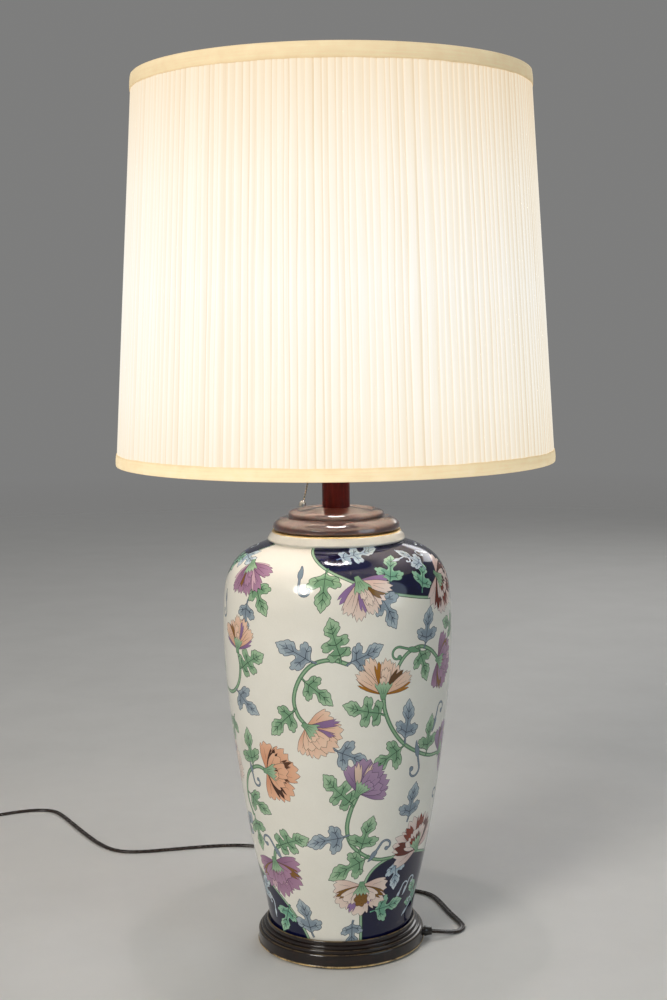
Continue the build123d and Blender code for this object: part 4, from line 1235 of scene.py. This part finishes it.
def shade_material():
    k = Mat("pleated_fabric")
    sep = k.nt.nodes.new("ShaderNodeSeparateXYZ")
    k.link(k.coords(), sep.inputs[0])
    h = k.math("DIVIDE", k.math("SUBTRACT", sep.outputs["Z"], Z0 * MM), (Z1 - Z0) * MM)
    # painted light: the cloth's own emission stands in for the bulb's light coming through it; this ramp makes that
    # glow dimmer and more orange toward the bottom and top rims
    tone = k.ramp(h, [(0.02, (0.95, 0.84, 0.67)), (0.18, (0.99, 0.925, 0.80)), (0.45, (1.0, 0.96, 0.875)), (0.70, (0.985, 0.91, 0.78)), (0.97, (0.90, 0.74, 0.53))])
    around = k.attr("around")
    comb = k.nt.nodes.new("ShaderNodeCombineXYZ")
    k.link(around, comb.inputs[0])
    k.link(k.math("MULTIPLY", sep.outputs["Z"], 14.0), comb.inputs[1])
    streak = k.noise(comb.outputs[0], 0.42, 4, 0.65)
    # fold_shade carries painted shade: dark lines where the pleats' layers overlap against the light, plus a random
    # tone per pleat
    fold_shade = k.attr("fold_shade")
    thread = k.noise(comb.outputs[0], 0.95, 3, 0.6)
    thick = k.math("ADD", fold_shade, k.math("MULTIPLY", k.math("SUBTRACT", streak, 0.5), 0.55))
    thick = k.math("ADD", thick, k.math("MULTIPLY", k.math("SUBTRACT", thread, 0.5), 0.50))
    # painted shade and light: darker at the overlapping folds, brighter on the single layers between them; the streak
    # and thread noise add random tone
    shade = k.ramp(thick, [(0.0, (1.04, 1.05, 1.09)), (0.26, (1.0, 0.985, 0.960)), (0.55, (0.93, 0.885, 0.815)), (1.0, (0.77, 0.69, 0.565))])
    # glow is the painted light through the cloth: the height ramp times the painted fold shade
    glow = k.mix(1.0, tone, shade, "MULTIPLY")
    k.link(glow, k.b.inputs["Emission Color"])
    k.set(Emission_Strength=0.80, Specular_IOR_Level=0.22, Sheen_Weight=0.08, Sheen_Roughness=0.5)
    base = k.ramp(streak, [(0.3, (0.28, 0.26, 0.222)), (0.7, (0.33, 0.309, 0.276))])
    # the base colour also takes 70 % of the painted fold shade
    k.color(k.mix(0.7, base, k.mix(1.0, base, shade, "MULTIPLY")))
    weave_v = k.nt.nodes.new("ShaderNodeCombineXYZ")
    k.link(around, weave_v.inputs[0])
    k.link(k.math("MULTIPLY", sep.outputs["Z"], 1000.0), weave_v.inputs[1])
    w = k.nt.nodes.new("ShaderNodeTexWave")
    w.wave_type, w.bands_direction = "BANDS", "Y"
    w.inputs["Scale"].default_value = 1.1
    w.inputs["Distortion"].default_value = 1.5
    k.link(weave_v.outputs[0], w.inputs["Vector"])
    k.rough(streak, 0.62, 0.82)
    k.bump(k.math("ADD", k.math("MULTIPLY", w.outputs["Fac"], 0.35), streak), 0.12, 0.0003)
    return k.m


def make_shade():
    rng = np.random.default_rng(11)
    N, rows = 196, 29
    w = 0.70 + 0.60 * rng.random(N)
    wide = rng.random(N) < 0.12
    w[wide] *= 1.4
    edge = np.concatenate([[0], np.cumsum(w)]) / w.sum() * 2 * math.pi
    depth = 0.50 + 0.55 * rng.random(N)
    # dark: how strong each pleat's painted fold shade line is
    dark = 0.50 + 0.42 * rng.random(N) ** 1.2
    tone = rng.normal(0, 0.07, N)
    ph, amp = rng.random(N) * 6.28, 0.15 + 0.45 * rng.random(N)
    ph2, lean = rng.random(N) * 6.28, rng.normal(0, 0.7, N)
    # each pleat point: place across the pleat, depth in, painted fold shade (darkest at the fold step, where the
    # layers overlap)
    prof = [(0.0, 0.0, 0.06), (0.15, 0.06, 0.06), (0.42, 0.36, 0.26), (0.68, 0.70, 0.34), (0.85, 1.0, 0.82), (0.945, 0.88, 1.0)]
    zs = np.linspace(Z0 + 0.8, Z1 - 0.8, rows)
    verts, fold_shade, around = [], [], []
    m = N * len(prof)
    for z in zs:
        R = shade_r(z)
        s = (z - zs[0]) / (zs[-1] - zs[0])
        free = math.sin(math.pi * s) ** 0.6
        drift = [(amp[i] * math.sin(2.4 * s * math.pi + ph[i]) + 0.4 * amp[i] * math.sin(5.3 * s * math.pi + ph2[i]) + lean[i] * (s - 0.5)) * free / R for i in range(N)]
        for i in range(N):
            a0, a1 = edge[i] + drift[i], edge[i + 1] + drift[(i + 1) % N]
            for f, d, g in prof:
                a = a0 + (a1 - a0) * f
                rr = R - 0.45 - depth[i] * d * (0.72 + 0.28 * free) + 0.05 * math.sin(9 * s + ph[i])
                verts.append((rr * MM * math.cos(a), rr * MM * math.sin(a), z * MM))
                fold_shade.append(np.clip(g * (dark[i] if g > 0.5 else 1.0) + (tone[i] if 0.1 < g < 0.7 else 0), 0, 1))
                around.append(a * 180.0)
    n_out = len(verts)
    for z in (zs[0], *zs[1:-1:4], zs[-1]):
        R = shade_r(z) - 2.1
        for j in range(m):
            a = 2 * math.pi * j / m
            verts.append((R * MM * math.cos(a), R * MM * math.sin(a), z * MM))
            fold_shade.append(0.3)
            around.append(a * 180.0)
    k_in = (len(verts) - n_out) // m
    faces, uv = [], []
    for i in range(rows - 1):
        for j in range(m):
            q = (j + 1) % m
            faces.append((i * m + j, i * m + q, (i + 1) * m + q, (i + 1) * m + j))
            uv += [(j / m, 0.84 * i / rows), ((j + 1) / m, 0.84 * i / rows), ((j + 1) / m, 0.84 * (i + 1) / rows), (j / m, 0.84 * (i + 1) / rows)]
    o = lambda r, j: n_out + r * m + j % m
    for i in range(k_in - 1):
        for j in range(m):
            faces.append((o(i, j + 1), o(i, j), o(i + 1, j), o(i + 1, j + 1)))
            v0, v1 = 0.86 + 0.10 * i / k_in, 0.86 + 0.10 * (i + 1) / k_in
            uv += [((j + 1) / m, v0), (j / m, v0), (j / m, v1), ((j + 1) / m, v1)]
    for j in range(m):
        q = (j + 1) % m
        faces.append((q, j, o(0, j), o(0, j + 1)))
        faces.append(((rows - 1) * m + j, (rows - 1) * m + q, o(k_in - 1, j + 1), o(k_in - 1, j)))
        uv += [((j + 1) / m, 0.97), (j / m, 0.97), (j / m, 0.98), ((j + 1) / m, 0.98)]
        uv += [(j / m, 0.985), ((j + 1) / m, 0.985), ((j + 1) / m, 0.995), (j / m, 0.995)]
    ob = build("pleated_shade", verts, faces, uv, [shade_material()], 0)
    put_float(ob.data, "fold_shade", fold_shade)
    put_float(ob.data, "around", around)
    return ob


shade = make_shade()
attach(shade, "shade"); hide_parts("shade_fabric")


def tape_material(name, low, high, strength, z_free, z_rim):
    k = Mat(name)
    v = k.coords()
    sep = k.nt.nodes.new("ShaderNodeSeparateXYZ")
    k.link(v, sep.inputs[0])
    around = k.attr("around")
    comb = k.nt.nodes.new("ShaderNodeCombineXYZ")
    k.link(around, comb.inputs[0])
    k.link(k.math("MULTIPLY", sep.outputs["Z"], 1000.0), comb.inputs[1])
    rib = k.nt.nodes.new("ShaderNodeTexWave")
    rib.wave_type, rib.bands_direction = "BANDS", "X"
    rib.inputs["Scale"].default_value = 0.62
    rib.inputs["Distortion"].default_value = 0.6
    rib.inputs["Detail"].default_value = 1.0
    k.link(comb.outputs[0], rib.inputs["Vector"])
    blot = k.noise(comb.outputs[0], 0.09, 5, 0.6)
    tone = k.ramp(blot, [(0.28, low), (0.72, high)])
    along = k.nt.nodes.new("ShaderNodeCombineXYZ")
    k.link(k.math("MULTIPLY", around, 0.03), along.inputs[0])
    k.link(k.math("MULTIPLY", sep.outputs["Z"], 1000.0), along.inputs[1])
    grain = k.noise(along.outputs[0], 0.55, 4, 0.65)
    tone = k.mix(1.0, tone, k.ramp(grain, [(0.32, (0.93, 0.92, 0.90)), (0.68, (1.05, 1.06, 1.08))]), "MULTIPLY")
    tone = k.mix(1.0, tone, k.ramp(rib.outputs["Fac"], [(0.0, (0.95, 0.94, 0.92)), (1.0, (1.03, 1.03, 1.03))]), "MULTIPLY")
    # painted shade and highlight: darker at the tape's free edge, as if shaded by the tape's thickness, and lighter
    # just under the rim
    painted_edge_light = k.math("DIVIDE", k.math("SUBTRACT", sep.outputs["Z"], z_free * MM), (z_rim - z_free) * MM)
    tone = k.mix(1.0, tone, k.ramp(painted_edge_light, [(0.0, (0.84, 0.77, 0.66)), (0.14, (0.97, 0.96, 0.94)), (0.55, (1.0, 1.0, 1.0)), (0.88, (1.03, 1.04, 1.06)), (1.0, (0.98, 0.97, 0.95))]), "MULTIPLY")
    # painted light: the tape's emission stands in for the bulb's light coming through it
    k.link(tone, k.b.inputs["Emission Color"])
    k.set(Emission_Strength=strength, Specular_IOR_Level=0.2, Sheen_Weight=0.1, Sheen_Roughness=0.5)
    k.color(k.mix(0.5, tone, lin(226, 212, 182)))
    k.rough(blot, 0.7, 0.88)
    k.bump(k.math("ADD", rib.outputs["Fac"], k.math("MULTIPLY", k.noise(comb.outputs[0], 1.6, 3, 0.6), 0.7)), 0.25, 0.0003)
    return k.m


def tape_ring(name, z_rim, tall, sign, material, seed):
    """Folded tape over a rim; sign is +1 where the tape hangs down from the top rim."""
    rng = np.random.default_rng(seed)
    at_ = lambda inset, d: (shade_r(z_rim - sign * d) - inset, z_rim - sign * d)
    pts = []
    for i in range(9):                            # outer face, free edge to rim, gently domed
        s = i / 8
        d = tall * (1 - s)
        pts.append(at_(0.02 - 0.42 * math.sin(math.pi * min(1, s * 1.08)) ** 0.8, max(d, 0.5)))
    pts += [at_(0.35, 0.16), at_(1.1, -0.02), at_(2.6, -0.02), at_(3.3, 0.2), at_(3.6, 0.7), at_(3.55, 3.0), at_(3.5, 6.0), at_(3.02, 6.1), at_(3.02, 2.0), at_(2.9, 0.9), at_(2.2, 0.62), at_(1.2, 0.62), at_(0.62, 1.0)]
    pts += [at_(0.5, tall * 0.6), at_(0.5, tall)]
    ph = rng.random(6) * 6.28
    fr = [5, 11, 19, 31, 47, 73]
    am = [0.10, 0.10, 0.09, 0.08, 0.07, 0.06]

    def shift(th, i):
        e = 1.0 if i in (0, len(pts) - 1) else 0.75 if i == 1 else 0.0
        return 0.06 * math.sin(23 * th + ph[0]) * (i < 9), e * sum(a * math.sin(f * th + p) for a, f, p in zip(am, fr, ph))

    ob = lathe(name, pts, 300, [material], smooth=55, shift=shift)
    co = np.array([v.co for v in ob.data.vertices])
    put_float(ob.data, "around", np.arctan2(co[:, 1], co[:, 0]) * 180.0)
    return ob


tape_top = tape_ring("rim_tape_top", Z1, 12.6, 1, tape_material("trim_tape_top", lin(224, 196, 150), lin(236, 212, 168), 0.38, Z1 - 12.6, Z1), 3)
tape_low = tape_ring("rim_tape_bottom", Z0, 10.5, -1, tape_material("trim_tape_bottom", lin(234, 207, 160), lin(246, 224, 182), 0.49, Z0 + 10.5, Z0), 4)
for o_, n_ in ((tape_top, "shade_top_trim"), (tape_low, "shade_bottom_trim")):
    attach(o_, "shade"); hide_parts(n_)


def lining_material():
    k = Mat("shade_lining")
    k.color(k.ramp(k.noise(k.coords((1, 1, 0.06)), 420, 4, 0.6), [(0.3, (0.44, 0.412, 0.350)), (0.7, (0.54, 0.510, 0.446))]))
    k.rough(k.noise(k.coords(), 200, 3, 0.5), 0.55, 0.75)
    k.bump(k.noise(k.coords((1, 1, 0.10)), 900, 3, 0.6), 0.35, 0.0004)
    return k.m


give(lining_material(), "shade_liner")


def bulb_material():
    k = Mat("bulb_glass")
    f = k.noise(k.coords(), 60, 3, 0.5)
    k.color(k.ramp(f, [(0.3, (0.86, 0.84, 0.80)), (0.7, (0.92, 0.90, 0.86))]))
    k.link(k.ramp(f, [(0.3, (1.0, 0.90, 0.76)), (0.7, (1.0, 0.94, 0.84))]), k.b.inputs["Emission Color"])
    k.set(Emission_Strength=1.1)
    k.rough(f, 0.28, 0.40)
    return k.m


give(bulb_material(), "bulb_glass")


# ------------------------------------------------------------------ light and floor
bulb = link(bpy.data.objects.new("lamplight", bpy.data.lights.new("lamplight", "POINT")))
bulb.location = (0, 0, 0.591)
bulb.data.energy = 2.7
bulb.data.color = (1.0, 0.92, 0.91)
bulb.data.shadow_soft_size = 0.0315
bulb.data.use_soft_falloff = False

down = link(bpy.data.objects.new("lamplight_down", bpy.data.lights.new("lamplight_down", "SPOT")))
down.location = (0, 0, 0.591)
down.data.energy = 2.5
down.data.color = (1.0, 0.94, 0.93)
down.data.shadow_soft_size = 0.0315
down.data.use_soft_falloff = False
down.data.spot_size = math.radians(60)
down.data.spot_blend = 0.8


def area_light(name, loc, target, size, power, color=(1, 1, 1)):
    d = bpy.data.lights.new(name, "AREA")
    d.shape, d.size, d.energy, d.color = "DISK", size, power, color
    ob = link(bpy.data.objects.new(name, d))
    ob.location = loc
    ob.rotation_euler = (Vector(target) - Vector(loc)).to_track_quat("-Z", "Y").to_euler()
    return ob


area_light("key", (-1.5, -2.0, 1.7), (0, 0, 0.2), 0.95, 43, (1.0, 0.97, 0.91))
area_light("fill", (2.0, -1.3, 1.1), (0, 0, 0.3), 1.6, 9.5, (0.70, 0.88, 1.0))
area_light("back", (0.9, 2.1, 1.6), (0, 0, 0.35), 1.5, 14)

world = bpy.data.worlds.new("studio")
scene.world = world
world.use_nodes = True
world.node_tree.nodes["Background"].inputs["Color"].default_value = (0.86, 0.86, 0.85, 1)
world.node_tree.nodes["Background"].inputs["Strength"].default_value = 0.24
scene.view_settings.view_transform = "Standard"

floor_bm = bmesh.new()
bmesh.ops.create_circle(floor_bm, cap_ends=True, segments=96, radius=5.0)
floor_me = bpy.data.meshes.new("floor")
floor_bm.to_mesh(floor_me); floor_bm.free()
floor = link(bpy.data.objects.new("floor", floor_me))
fm = Mat("floor_pale")
fsep = fm.nt.nodes.new("ShaderNodeVectorMath")
fsep.operation = "LENGTH"
fm.link(fm.coords(), fsep.inputs[0])
fm.color(fm.ramp(fm.noise(fm.coords(), 9, 4, 0.6), [(0.3, (0.66, 0.65, 0.63)), (0.7, (0.70, 0.69, 0.67))]))
fm.rough(fm.noise(fm.coords(), 5, 3, 0.5), 0.55, 0.7)
fm.link(fm.ramp(fm.math("DIVIDE", fsep.outputs["Value"], 5.0), [(0.18, 1.0), (0.90, 0.0)]), fm.b.inputs["Alpha"])
floor_me.materials.append(fm.m)
